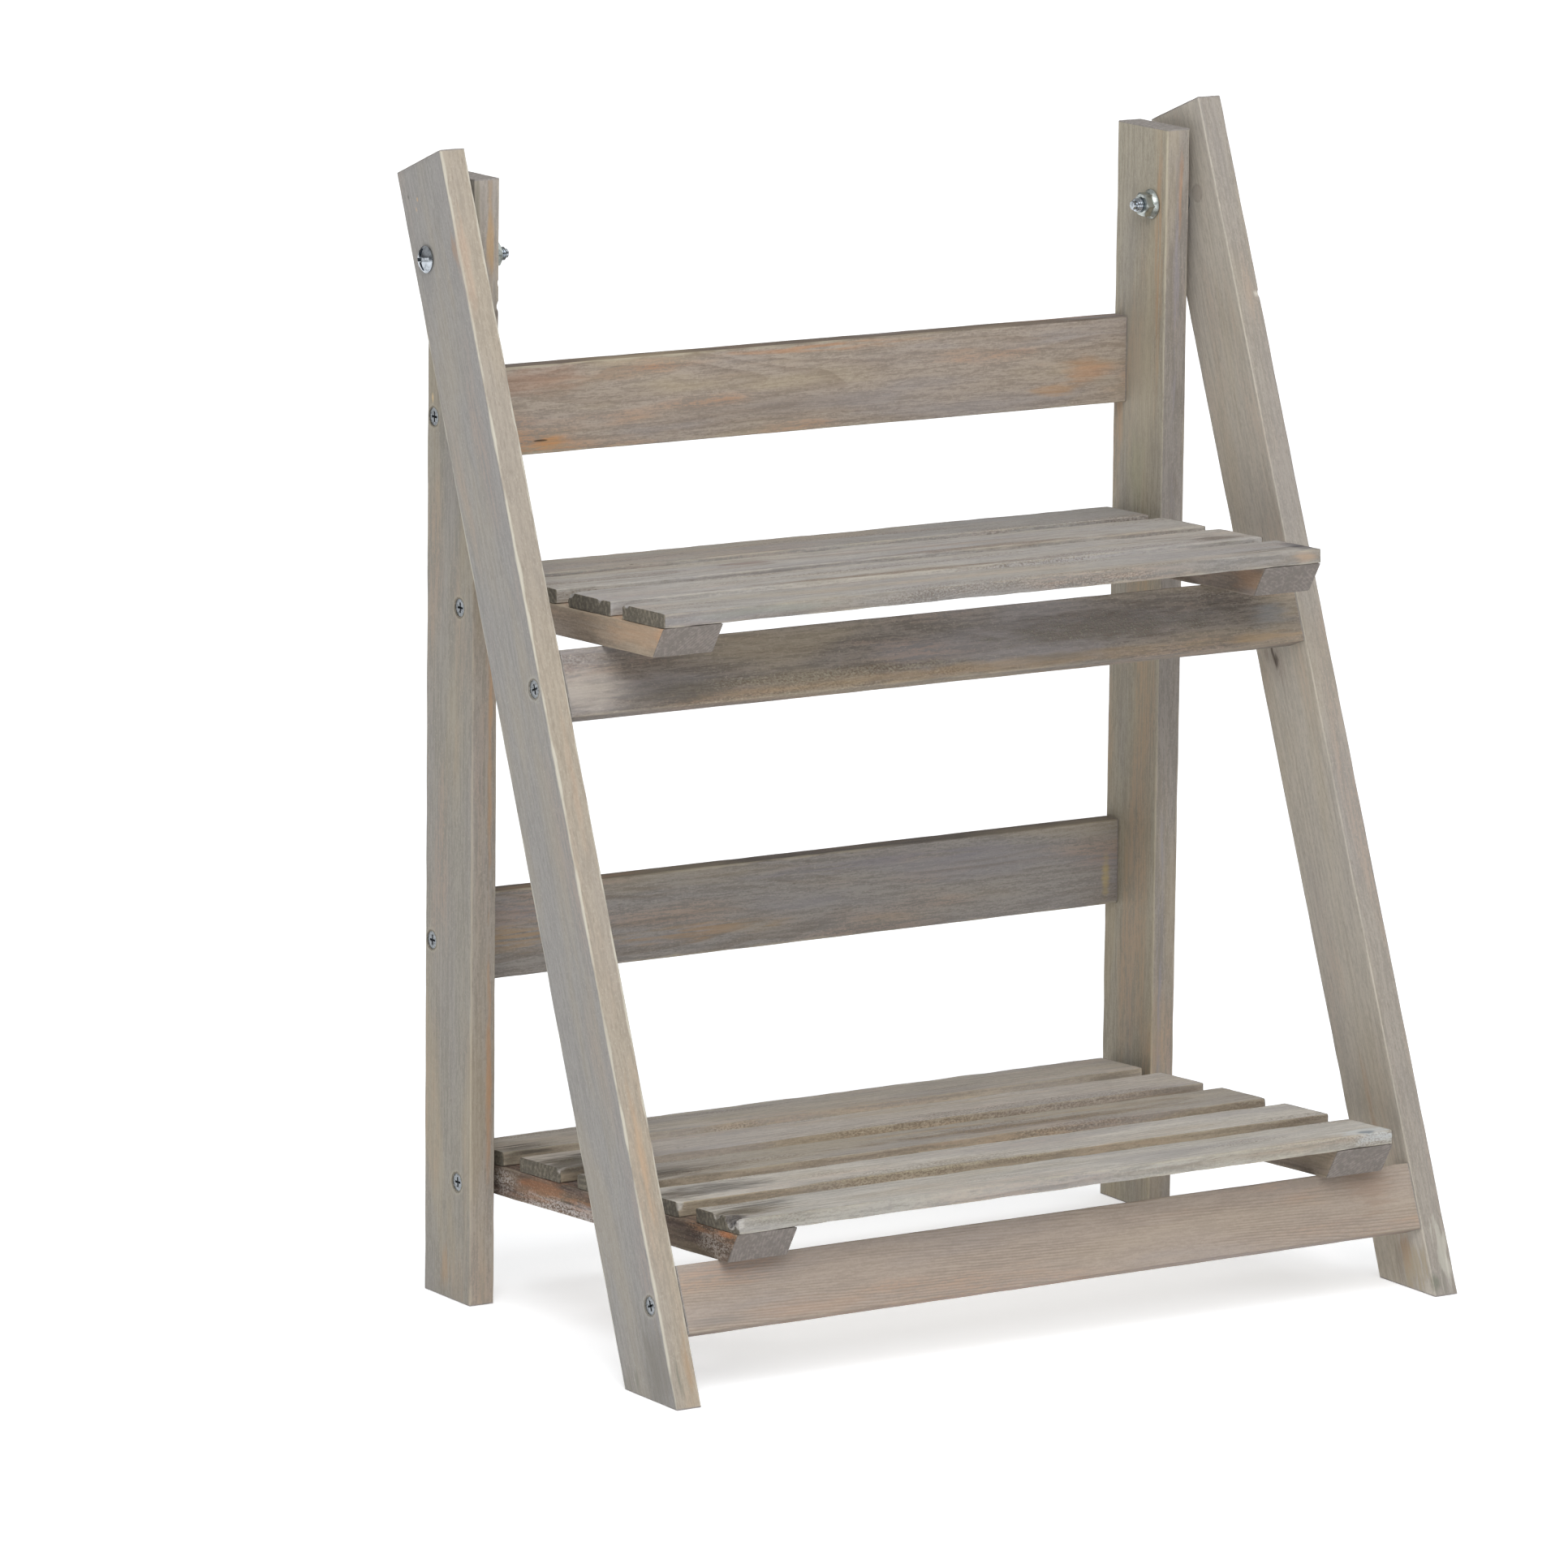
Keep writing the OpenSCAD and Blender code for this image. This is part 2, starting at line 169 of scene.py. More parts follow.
class Graph:
    """A node tree, with short ways to add nodes to it."""

    def __init__(self, name: str, tree: bpy.types.NodeTree | None = None) -> None:
        """Empties the given tree, or starts a material of that name and takes its tree.

        Args:
            name: The new material's name.
            tree: A tree to use in place of a new material.
        """
        if tree is None:
            self.material = bpy.data.materials.new(name)
            self.material.use_nodes = True
            tree = self.material.node_tree
        self.tree = tree
        self.tree.nodes.clear()

    def node(
        self,
        kind: str,
        settings: Mapping[str, Any] | None = None,
        sockets: Mapping[int | str, Any] | None = None,
    ) -> bpy.types.Node:
        """Adds a node.

        Args:
            kind: The node's type.
            settings: Its properties, which are set first.
            sockets: What its inputs get, by name or number: a value, a socket or a link.

        Returns:
            The node.
        """
        made = self.tree.nodes.new(kind)
        for name, value in (settings or {}).items():
            setattr(made, name, value)
        for name, value in (sockets or {}).items():
            if isinstance(value, Link):
                value = value.socket
            if isinstance(value, bpy.types.NodeSocket):
                self.tree.links.new(value, made.inputs[name])
            else:
                made.inputs[name].default_value = value
        return made

    def value(self, kind: str, settings: Mapping[str, Any], sockets: Mapping[int | str, Any]) -> Link:
        """Adds a node as node() does, and returns its first output as a link."""
        return Link(self, self.node(kind, settings, sockets).outputs[0])

    def vector(self, operation: str, first: Any, second: Any) -> Socket:
        """Adds a Vector Math node on two vectors, and returns its vector."""
        return self.node("ShaderNodeVectorMath", {"operation": operation}, {0: first, 1: second}).outputs[0]

    def measure(self, operation: str, *vectors: Any) -> Link:
        """Adds a Vector Math node on vectors, and returns the number that it gives."""
        made = self.node("ShaderNodeVectorMath", {"operation": operation}, dict(enumerate(vectors)))
        return Link(self, made.outputs[1])

    def place(self) -> Socket:
        """Adds the object's own coordinates."""
        return self.node("ShaderNodeTexCoord").outputs["Object"]

    def parts(self, vector: Socket) -> list[Link]:
        """Takes a vector apart into its three numbers."""
        return [Link(self, part) for part in self.node("ShaderNodeSeparateXYZ", {}, {0: vector}).outputs]

    def bump(self, strength: float, distance: float, height: Link) -> Socket:
        """Turns a height, of which 1 stands for the distance, into a normal."""
        sockets = {"Strength": strength, "Distance": distance, "Height": height}
        return self.node("ShaderNodeBump", {}, sockets).outputs[0]

    def mix(self, factor: Any, low: Any, high: Any, blend: str = "MIX") -> Socket:
        """Mixes two colours.

        Args:
            factor: 0 for low and 1 for high.
            low: A colour or a socket.
            high: A colour or a socket.
            blend: Blender's name for the way that high goes over low.

        Returns:
            The mixed colour's socket.
        """
        settings = {"data_type": "RGBA", "blend_type": blend}
        return self.node("ShaderNodeMix", settings, {0: factor, 6: low, 7: high}).outputs[2]

    def clouds(self, place: Any, scale: Sequence[float], detail: float, shift: float = 0.0) -> Link:
        """Adds noise, stretched by axis.

        Args:
            place: The vector that the noise reads, in metres.
            scale: Blobs to the metre along each axis.
            detail: How many finer layers the noise has.
            shift: Moves the noise, so that two with one scale differ.

        Returns:
            The noise, about 0.5 on average.
        """
        scaled = self.vector("MULTIPLY", place, tuple(scale))
        moved = self.vector("ADD", scaled, (shift, shift * 1.7, shift * 2.3))
        return self.value("ShaderNodeTexNoise", {}, {"Vector": moved, "Scale": 1.0, "Detail": detail})

    def surface(self, **sockets: Any) -> bpy.types.Material:
        """Ends the tree in a Principled shader with those inputs, and returns the material.

        Args:
            sockets: The shader's inputs by name, with _ for a space.

        Returns:
            The material.
        """
        named = {name.replace("_", " "): value for name, value in sockets.items()}
        shader = self.node("ShaderNodeBsdfPrincipled", {}, named)
        self.node("ShaderNodeOutputMaterial", {}, {"Surface": shader.outputs[0]})
        return self.material


# ---- finishes --------------------------------------------------------------------


class Face(Enum):
    """The faces of a board that can have a coat of their own: the axis they look along, and which way.

    A post's or leg's inner face looks at the stand's middle. A post's or leg's plus edge is its
    front and a back rail's its top. A slat's minus edge is its front and a rail's its underside.
    """

    INNER = (2, -1)
    PLUS_EDGE = (1, 1)
    MINUS_EDGE = (1, -1)


class Touch(Enum):
    """How a mark lies on the wood."""

    SOFT = "soft"
    STREAKED = "streaked"
    CRUMBLED = "crumbled"


class Noise(Enum):
    """The noises on a board: blobs to the metre along and across its grain, finer layers, and shift."""

    TONE = (8, 48, 4, 0)
    STREAK = (42, 620, 3, 3)
    FIBRE = (260, 1700, 2, 5)
    PATCH = (9, 90, 3, 11)
    GLOW = (10, 60, 3, 17)
    TORN = (8, 70, 2, 23)
    CRUMB = (900, 1500, 1, 29)
    RUBBED = (60, 300, 4, 31)
    BEND = (7, 26, 2, 41)
    WAVER = (32, 240, 2, 43)
    RAGGED = (70, 420, 4, 53)
    DRAWN = (34, 700, 3, 59)
    CHEWED = (520, 520, 4, 67)


@dataclass(frozen=True)
class Growth:
    """How a board was sawn from its tree, in the board's own coordinates.

    pith is where the tree's middle lies across the width and the thickness, drift is
    how far that moves for each metre of length, seed shifts the noise and bend is how
    far the trunk's own bends move the rings.
    """

    pith: tuple[float, float] = (0.012, -0.045)
    drift: tuple[float, float] = (0.02, 0.01)
    seed: float = 0.0
    bend: float = 12 * MM


@dataclass(frozen=True)
class Coat:
    """The wash's colour on one of a board's faces, which on some faces is painted light or shade."""

    face: Face
    colour: str


@dataclass(frozen=True)
class Mark:
    """A stain, knot or bare patch, in millimetres at a point of the stand at rest. One dark patch on the
    upper front rail is partly painted shade.

    reach is its half size along the grain, across the width and through the
    thickness. ragged roughens its outline.
    """

    at: tuple[float, float, float]
    reach: tuple[float, float, float]
    colour: str
    strength: float = 0.7
    touch: Touch = Touch.SOFT
    soft: float = 0.8
    ragged: float = 0.7


class Paint:
    """A board's material while it is made.

    here is the board's own coordinates, axes are the same one by one, and colour is
    what has been painted so far.
    """

    def __init__(self, board: "Board", wash: str) -> None:
        """Starts the material, and centres and turns Object coordinates onto the board.

        Args:
            board: The board.
            wash: The wash's colour, which covers it all.
        """
        self.board = board
        self.graph = Graph(board.name + "_pine")
        turn = {"Location": board.place.translation, "Rotation": board.place.to_euler()}
        sockets = {"Vector": self.graph.place(), **turn}
        self.here = self.graph.node("ShaderNodeMapping", {"vector_type": "TEXTURE"}, sockets).outputs[0]
        self.axes = self.graph.parts(self.here)
        self.colour: Any = linear(wash)

    def noise(self, kind: Noise) -> Link:
        """Adds one of the board's noises."""
        along, across, detail, shift = kind.value
        return self.graph.clouds(self.here, (along, across, across), detail, self.board.growth.seed + shift)

    def cover(self, mask: Any, colour: str) -> None:
        """Paints a colour over what is there, as far as the mask says."""
        self.colour = self.graph.mix(mask, self.colour, linear(colour))

    def shaded(self, level: float) -> Socket:
        """Gives the colour so far, times a level."""
        return self.graph.mix(1.0, self.colour, grey(level), "MULTIPLY")


@dataclass(frozen=True)
class Pine:
    """Sawn pine under a thin grey wash.

    The colours are the wash, its lilac and its yellow patches, the orange of the wood
    itself, the growth lines, the rubbed arrises, the end grain and the chewed rims of
    holes. The numbers say how much of each shows, and ring is the width of a growth ring.
    A face's coat starts coat_reach under the face and is full from coat_full up. The end
    grain starts as deep, and is full from end_full up.
    """

    # On most slats' tops the wash is lighter, as painted light; on the bearers and the upper front rail it is
    # darker, as painted shade.
    wash: str = "#a8a29b"
    coats_and_painted_shading: tuple[Coat, ...] = ()
    lilac: str = "#979497"
    yellow: str = "#b4a589"
    warm: str = "#c0895d"
    line: str = "#6b5a4b"
    worn: str = "#bfb6a2"
    end_dark: str = "#88837f"
    end_light: str = "#a09a96"
    grain: float = 0.20
    cool: float = 0.35
    thin: float = 0.30
    warmth: float = 0.20
    lines: float = 0.25
    pores: float = 0.18
    wear: float = 0.55
    torn: float = 0.0
    ring: float = 1.9 * MM
    relief: float = 0.30
    ends: float = 0.95
    chewed: str = "#4a443c"
    coat_reach: float = 0.9 * MM
    coat_full: float = 0.35 * MM
    end_full: float = 0.5 * MM
    relief_depth: float = 0.6 * MM

    def dress(self, board: "Board") -> bpy.types.Material:
        """Makes the board's material.

        Args:
            board: The board, whose own coordinates the grain follows.

        Returns:
            The material.
        """
        paint = Paint(board, self.wash)
        late, ring = self._rings(paint)
        tone, patch, glow = paint.noise(Noise.TONE), paint.noise(Noise.PATCH), paint.noise(Noise.GLOW)
        streak, fibre, crumb = paint.noise(Noise.STREAK), paint.noise(Noise.FIBRE), paint.noise(Noise.CRUMB)
        self._coat(paint)
        shade = (streak * 0.45 + fibre * 0.35 + crumb * 0.20).rise(0.41, 0.58)
        dark, light = paint.shaded(1 - self.grain), paint.shaded(1 + self.grain / 2)
        paint.colour = paint.graph.mix(shade, dark, light)
        paint.cover(tone.rise(0.50, 0.66) * self.cool, self.lilac)
        paint.cover(tone.rise(0.50, 0.34) * self.thin, self.yellow)
        paint.cover(glow.rise(0.50, 0.68) * shade * self.warmth, self.warm)
        paint.cover(late * patch.rise(0.36, 0.60) * self.lines, self.line)
        paint.cover(fibre.rise(0.38, 0.27) * self.pores, self.line)
        paint.cover(crumb.rise(0.64, 0.74) * self.pores, self.worn)
        rough = self._mark(paint, paint.noise(Noise.TORN).rise(0.56, 0.64) * self.torn, crumb)
        brim = (board.size.y / 2 - abs(paint.axes[1])) + (board.size.z / 2 - abs(paint.axes[2]))
        arris = (brim + (0.5 - paint.noise(Noise.RUBBED)) * (3.0 * MM)).rise(1.3 * MM, 0.4 * MM)
        paint.cover(arris * patch.rise(0.32, 0.52) * self.wear, self.worn)
        self._chew_rims(paint, fibre)
        cut = self._paint_ends(paint, ring, patch)
        height = late * (0.3 * self.lines) + streak * 0.4 + fibre * 0.5 + (rough + cut * 0.7) * crumb * 1.6
        return paint.graph.surface(
            Base_Color=paint.colour,
            Roughness=0.72 + shade * 0.12,
            Normal=paint.graph.bump(self.relief, self.relief_depth, height),
            Specular_IOR_Level=0.2,
        )

    def _coat(self, paint: Paint) -> None:
        """Washes each coated face in its own colour; some of these coats are painted light or shade.

        Args:
            paint: The material so far.
        """
        for coat in self.coats_and_painted_shading:
            axis, sign = coat.face.value
            reach = paint.board.size[axis] / 2
            near = (paint.axes[axis] * sign).rise(reach - self.coat_reach, reach - self.coat_full)
            paint.cover(near, coat.colour)

    def _rings(self, paint: Paint) -> tuple[Link, Link]:
        """Draws the growth rings round the pith.

        Args:
            paint: The material so far.

        Returns:
            The dark late wood of each ring, and how far through its ring a point is.
        """
        along, across, through = paint.axes
        growth = paint.board.growth
        bend = (paint.noise(Noise.BEND) - 0.5) * growth.bend
        waver = (paint.noise(Noise.WAVER) - 0.5) * (1.5 * MM)
        side = across - growth.pith[0] + along * growth.drift[0] + bend + waver
        deep = through - growth.pith[1] + along * growth.drift[1] + bend
        ring = ((side * side + deep * deep).root() / self.ring).fraction()
        return ring.rise(0.30, 0.90) * ring.rise(1.0, 0.92), ring

    def _chew_rims(self, paint: Paint, fibre: Link) -> None:
        """Darkens the chewed wood round each hole that a screw head sits in.

        Args:
            paint: The material so far.
            fibre: Noise at the scale of fibres.
        """
        for hole in paint.board.holes:
            if not hole.chewed:
                continue
            spot = paint.board.own(hole.at)
            along, across = paint.axes[0] - spot.x, paint.axes[1] - spot.y
            ragged = (along * along + across * across).root() - (fibre - 0.5) * (1.6 * MM)
            inside = ragged.rise(hole.head - 0.3 * MM, hole.head)
            rim = inside * ragged.rise(hole.head + 1.0 * MM, hole.head + 0.3 * MM)
            paint.cover(rim * 0.8, self.chewed)
            paint.cover(ragged.rise(hole.head + 2.4 * MM, hole.head + 0.8 * MM) * 0.2, self.worn)

    def _paint_ends(self, paint: Paint, ring: Link, patch: Link) -> Link:
        """Paints the end grain on both ends.

        Args:
            paint: The material so far.
            ring: How far through its growth ring a point is.
            patch: Patchy noise.

        Returns:
            Where the ends are.
        """
        cut: Any = 0.0
        for normal, reach in paint.board.ends():
            outward = paint.graph.measure("DOT_PRODUCT", paint.here, normal)
            cut = outward.rise(reach - self.coat_reach, reach - self.end_full).most(cut)
        chewed = paint.noise(Noise.CHEWED)
        bands = ring.rise(0.10, 0.75) * ring.rise(1.0, 0.75) * (chewed * patch).rise(0.16, 0.34)
        light = linear(self.end_light)
        grained = paint.graph.mix(bands * 0.7, linear(self.end_dark), light)
        sooty = paint.graph.mix(chewed.rise(0.46, 0.66) * 0.5, grained, light)
        paint.colour = paint.graph.mix(cut * self.ends, paint.colour, sooty)
        return cut

    def _mark(self, paint: Paint, rough: Link, crumb: Link) -> Link:
        """Paints the board's marks, and crumbles its torn grain.

        Args:
            paint: The material so far.
            rough: Where the grain is torn.
            crumb: Noise at the scale of torn fibres.

        Returns:
            Where the grain is torn or crumbled.
        """
        graph = paint.graph
        ragged, drawn = paint.noise(Noise.RAGGED), paint.noise(Noise.DRAWN)
        for mark in paint.board.marks:
            spot = paint.board.own(Vector(mark.at) * MM)
            shape = tuple(1 / (size * MM) for size in mark.reach)
            from_spot = graph.vector("SUBTRACT", paint.here, tuple(spot))
            away = graph.measure("LENGTH", graph.vector("MULTIPLY", from_spot, shape))
            inside = (away + (ragged - 0.5) * (2 * mark.ragged)).rise(1.0, 1.0 - mark.soft) * mark.strength
            if mark.touch is Touch.CRUMBLED:
                rough = rough.most(inside)
                inside = inside * crumb.rise(0.35, 0.60)
            elif mark.touch is Touch.STREAKED:
                inside = inside * drawn.rise(0.38, 0.56)
            else:
                inside = inside * (0.35 + drawn)
            paint.cover(inside, mark.colour)
        paint.cover(rough * crumb.rise(0.54, 0.38) * 0.7, self.line)
        paint.cover(rough * crumb.rise(0.58, 0.72) * 0.35, self.worn)
        return rough


@dataclass(frozen=True)
class Zinc:
    """Zinc plate: bright where it is smooth, cloudy and dull in its hollows."""

    colour: str = "#bcc2c8"
    shadow: str = "#84898e"
    rough: float = 0.13
    spangle: float = 420.0
    relief: float = 0.2
    relief_depth: float = 0.1 * MM

    def dress(self, name: str) -> bpy.types.Material:
        """Makes the metal.

        Args:
            name: The material's name.

        Returns:
            The material.
        """
        graph = Graph(name)
        here = graph.place()
        flecks = graph.clouds(here, (self.spangle,) * 3, 3)
        fine = graph.clouds(here, (self.spangle * 5,) * 3, 1, 7.0)
        return graph.surface(
            Base_Color=graph.mix(flecks.rise(0.25, 0.60), linear(self.shadow), linear(self.colour)),
            Metallic=1.0,
            Roughness=self.rough + (1 - flecks) * 0.18,
            Normal=graph.bump(self.relief, self.relief_depth, flecks * 0.5 + fine * 0.5),
        )


# ---- meshes ----------------------------------------------------------------------


def turned(outline: Sequence[tuple[float, float]], place: Matrix, steps: int = 48) -> Solid:
    """Turns an outline into a solid.

    Args:
        outline: (radius, height) points, with both ends on the axis.
        place: Puts the solid, whose axis is its own Z, where it belongs.
        steps: How many steps the turn has.

    Returns:
        The closed solid.
    """
    solid = bmesh.new()
    corners = [solid.verts.new((radius, 0.0, height)) for radius, height in outline]
    edges = [solid.edges.new(pair) for pair in zip(corners, corners[1:])]
    turn = {"cent": (0, 0, 0), "axis": (0, 0, 1), "dvec": (0, 0, 0), "angle": math.tau}
    bmesh.ops.spin(solid, geom=corners + edges, steps=steps, use_merge=True, use_duplicate=False, **turn)
    bmesh.ops.remove_doubles(solid, verts=solid.verts[:], dist=TOUCHING)
    bmesh.ops.transform(solid, matrix=place, verts=solid.verts[:])
    bmesh.ops.recalc_face_normals(solid, faces=solid.faces[:])
    return solid


def block(size: Sequence[float], place: Matrix) -> Solid:
    """Makes a box.

    Args:
        size: Length, width and height.
        place: Puts the box, whose middle is the origin, where it belongs.

    Returns:
        The box.
    """
    solid = bmesh.new()
    bmesh.ops.create_cube(solid, size=1.0)
    bmesh.ops.scale(solid, vec=Vector(size), verts=solid.verts[:])
    bmesh.ops.transform(solid, matrix=place, verts=solid.verts[:])
    return solid


def facing(at: Vector, outward: Vector) -> Matrix:
    """Makes the matrix that moves the origin to a point and turns +Z to outward."""
    return Matrix.Translation(at) @ outward.to_track_quat("Z", "Y").to_matrix().to_4x4()


def show(name: str, solid: Solid) -> bpy.types.Object:
    """Puts a finished bmesh in the scene.

    Args:
        name: The object's name.
        solid: Its mesh, which is freed.

    Returns:
        The object, at the origin.
    """
    mesh = bpy.data.meshes.new(name)
    solid.to_mesh(mesh)
    solid.free()
    made = bpy.data.objects.new(name, mesh)
    bpy.context.scene.collection.objects.link(made)
    return made


def gathered(solids: Iterable[Solid]) -> Solid:
    """Puts several solids into one bmesh as they are, and frees them.

    Args:
        solids: The solids.

    Returns:
        One bmesh that holds them all.
    """
    whole = bmesh.new()
    for solid in solids:
        mesh = bpy.data.meshes.new("gathered")
        solid.to_mesh(mesh)
        solid.free()
        whole.from_mesh(mesh)
        bpy.data.meshes.remove(mesh)
    return whole


def combined(first: Solid, second: Solid, operation: str) -> Solid:
    """Cuts, joins or intersects two closed solids.

    Args:
        first: The solid that is worked on, which is freed.
        second: The other solid, which is freed.
        operation: Blender's name for what is done.

    Returns:
        The result.
    """
    base, tool = show("base", first), show("tool", second)
    change = base.modifiers.new("change", "BOOLEAN")
    change.operation, change.solver, change.object = operation, "EXACT", tool
    changed = base.evaluated_get(bpy.context.evaluated_depsgraph_get())
    result = bmesh.new()
    result.from_mesh(changed.to_mesh())
    changed.to_mesh_clear()
    for made in (base, tool):
        mesh = made.data
        bpy.data.objects.remove(made)
        bpy.data.meshes.remove(mesh)
    return result


def smoothed(solid: Solid, sharpest: float = 0.6) -> None:
    """Shades a solid smooth, but for its sharp edges.

    Args:
        solid: The solid.
        sharpest: The largest turn that is smoothed, in radians.
    """
    for face in solid.faces:
        face.smooth = True
    for edge in solid.edges:
        edge.smooth = len(edge.link_faces) == 2 and edge.calc_face_angle(0.0) < sharpest


# ---- boards ----------------------------------------------------------------------

# How far a board's seed moves its wear, and the blobs to the metre of each kind of wear.
SEED_STEP = 0.37
RUB_SCALE = Vector((46, 30, 30))
DIP_SCALE = Vector((34, 210, 210))
TEAR_SCALE = Vector((9, 420, 420))


@dataclass(frozen=True)
class Hole:
    """A round hole for a fastener, from a point on a board's face into the wood.

    shank and head are radii, head_depth is how deep the wider part goes, and depth is
    the whole depth. chewed means that the driven head tore the wood round its rim.
    """

    at: Vector
    inward: Vector
    shank: float
    depth: float
    head: float = 0.0
    head_depth: float = 0.0
    chewed: bool = False

    def outline(self) -> list[tuple[float, float]]:
        """Lists the hole's outline as (radius, height), from above the face to its bottom.

        Returns:
            The points.
        """
        above = 1 * MM
        wide = max(self.head, self.shank)
        steps = [(0.0, above), (wide, above)]
        if self.head:
            steps += [(self.head, -self.head_depth)]
        return steps + [(self.shank, -self.head_depth), (self.shank, -self.depth), (0.0, -self.depth)]


@dataclass(frozen=True)
class Chip:
    """A bite out of the wood, in millimetres at a point of the stand at rest.

    into is the direction that the wood gives way in, radius how far the bite spreads
    and depth how deep it is.
    """

    at: tuple[float, float, float]
    into: tuple[float, float, float]
    radius: float
    depth: float


@dataclass(frozen=True)
class Wear:
    """How far a board has lost its sharpness, in metres.

    arris is the most that a long edge is worn back, face the most that a face dips, end
    the roughness of the sawn ends, and cell the size of the mesh's cells. The reaches
    are how far from its edge, face or end each goes. round is the long edges' radius
    and brim the bevel round the ends.
    """

    arris: float = 0.25 * MM
    face: float = 0.07 * MM
    end: float = 0.2 * MM
    cell: float = 3.5 * MM
    arris_reach: float = 2.2 * MM
    face_reach: float = 1.0 * MM
    end_reach: float = 1.5 * MM
    round: float = 0.5 * MM
    brim: float = 0.3 * MM


@dataclass(frozen=True)
class Board:
    """One board, with its own coordinates: length on X, width on Y and thickness on Z.

    node is the plain solid that the board stands for, place turns the board's
    coordinates into the stand's, and cuts are (point, normal) planes past which the
    wood is sawn off.
    """

    node: str
    body: str
    slot: str
    size: Vector
    place: Matrix
    wear: Wear = Wear()
    cuts: tuple[tuple[Vector, Vector], ...] = ()
    holes: tuple[Hole, ...] = ()

    @property
    def name(self) -> str:
        """The name of the board's object."""
        return self.node + "_board"

    @property
    def growth(self) -> Growth:
        """How the board was sawn."""
        return GROWTH[self.node]

    @property
    def marks(self) -> tuple[Mark, ...]:
        """The board's stains, knots and bare patches, of which one is partly painted shade."""
        return MARKS.get(self.node, ())

    def own(self, point: Vector) -> Vector:
        """Turns a point of the stand into the board's own coordinates."""
        return self.place.inverted() @ Vector(point)

    def ends(self) -> list[tuple[Vector, float]]:
        """Lists the board's two ends, as a normal and how far out its plane lies.

        Returns:
            A normal and a reach for each end.
        """
        found = {1: (X_AXIS.copy(), self.size.x / 2), -1: (-X_AXIS, self.size.x / 2)}
        turn = self.place.to_3x3().inverted()
        for point, normal in self.cuts:
            own_normal = (turn @ normal).normalized()
            found[1 if own_normal.x > 0 else -1] = (own_normal, own_normal.dot(self.own(point)))
        return list(found.values())

    def build(self) -> bpy.types.Object:
        """Saws, drills, wears and dresses the board, gives it its body and hides the plain solid that it
        stands for.

        Returns:
            The board's object.
        """
        solid = self._sawn()
        if self.holes:
            inward = self.place.inverted()
            bits = [turned(hole.outline(), inward @ facing(hole.at, -hole.inward), 32) for hole in self.holes]
            solid = combined(solid, gathered(bits), "DIFFERENCE")
        for chip in CHIPS.get(self.node, ()):
            self._bite(solid, chip)
        self._wear_down(solid)
        bmesh.ops.transform(solid, matrix=self.place, verts=solid.verts[:])
        bmesh.ops.recalc_face_normals(solid, faces=solid.faces[:])
        smoothed(solid)
        made = show(self.name, solid)
        made.data.materials.append(PINE[self.node].dress(self))
        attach(made, self.body)
        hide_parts(self.node)
        report(made, self.body)
        return made

    def _sawn(self) -> Solid:
        """Makes the board's fresh shape in its own coordinates: rounded, cut and gridded.

        Returns:
            The solid.
        """
        solid = block(self.size, Matrix.Identity(4))
        rule = {"profile": 0.5, "affect": "EDGES", "material": -1, "clamp_overlap": True}
        bmesh.ops.bevel(solid, geom=self._long_edges(solid), offset=self.wear.round, segments=3, **rule)
        for normal, reach in self.ends():
            self._slice(solid, normal, reach, clear_outer=True)
            bmesh.ops.holes_fill(solid, edges=[e for e in solid.edges if e.is_boundary], sides=0)
        brims = [edge for edge in solid.edges if self._on_brim(edge)]
        bmesh.ops.bevel(solid, geom=brims, offset=self.wear.brim, segments=2, **rule)
        cuts = round(self.size.x / self.wear.cell)
        bmesh.ops.subdivide_edges(solid, edges=self._long_edges(solid), cuts=cuts, use_grid_fill=True)
        for normal, half in ((Vector((0.0, 1.0, 0.0)), self.size.y / 2), (Z_AXIS, self.size.z / 2)):
            for offset in self._lanes(half):
                self._slice(solid, normal, offset)
        return solid

    @staticmethod
    def _slice(solid: Solid, normal: Vector, reach: float, **rule: bool) -> None:
        """Cuts all faces along a plane.

        Args:
            solid: The solid.
            normal: The plane's normal.
            reach: How far out the plane lies.
            rule: What else bisect_plane is told.
        """
        everything = solid.verts[:] + solid.edges[:] + solid.faces[:]
        bmesh.ops.bisect_plane(
            solid, geom=everything, dist=SLACK, plane_co=normal * reach, plane_no=normal, **rule
        )

    def _long_edges(self, solid: Solid) -> list[bmesh.types.BMEdge]:
        """Lists the edges that run most of the board's length."""
        return [e for e in solid.edges if abs(e.verts[0].co.x - e.verts[1].co.x) > self.size.x / 2]

    def _on_brim(self, edge: bmesh.types.BMEdge) -> bool:
        """Says whether an edge runs round one of the sawn ends.

        Args:
            edge: The edge.

        Returns:
            True if both its corners lie on an end.
        """
        for normal, reach in self.ends():
            if all(abs(corner.co.dot(normal) - reach) < TOUCHING for corner in edge.verts):
                return True
        return False

    def _lanes(self, half: float) -> list[float]:
        """Lists where the grid's lines lie across a face.

        Args:
            half: Half the face's width.

        Returns:
            The lines' offsets from the middle.
        """
        inner = half - self.wear.round - 0.5 * MM
        count = max(1, round(2 * inner / self.wear.cell))
        return [-inner + 2 * inner * i / count for i in range(count + 1)]

    def _bite(self, solid: Solid, chip: Chip) -> None:
        """Refines the mesh round a chip, and pushes the wood in there.

        Args:
            solid: The board's solid.
            chip: The chip.
        """
        centre = self.own(Vector(chip.at) * MM)
        into = self.place.to_3x3().inverted() @ Vector(chip.into).normalized()
        radius = chip.radius * MM
        near = [e for e in solid.edges if min((v.co - centre).length for v in e.verts) < radius]
        bmesh.ops.subdivide_edges(solid, edges=near, cuts=2, use_grid_fill=True)
        for vert in solid.verts:
            away = (vert.co - centre).length / radius * (1 + 0.35 * noise.noise(vert.co * 500))
            if away < 1:
                vert.co += into * (chip.depth * MM * (1 - away * away) ** 1.5)

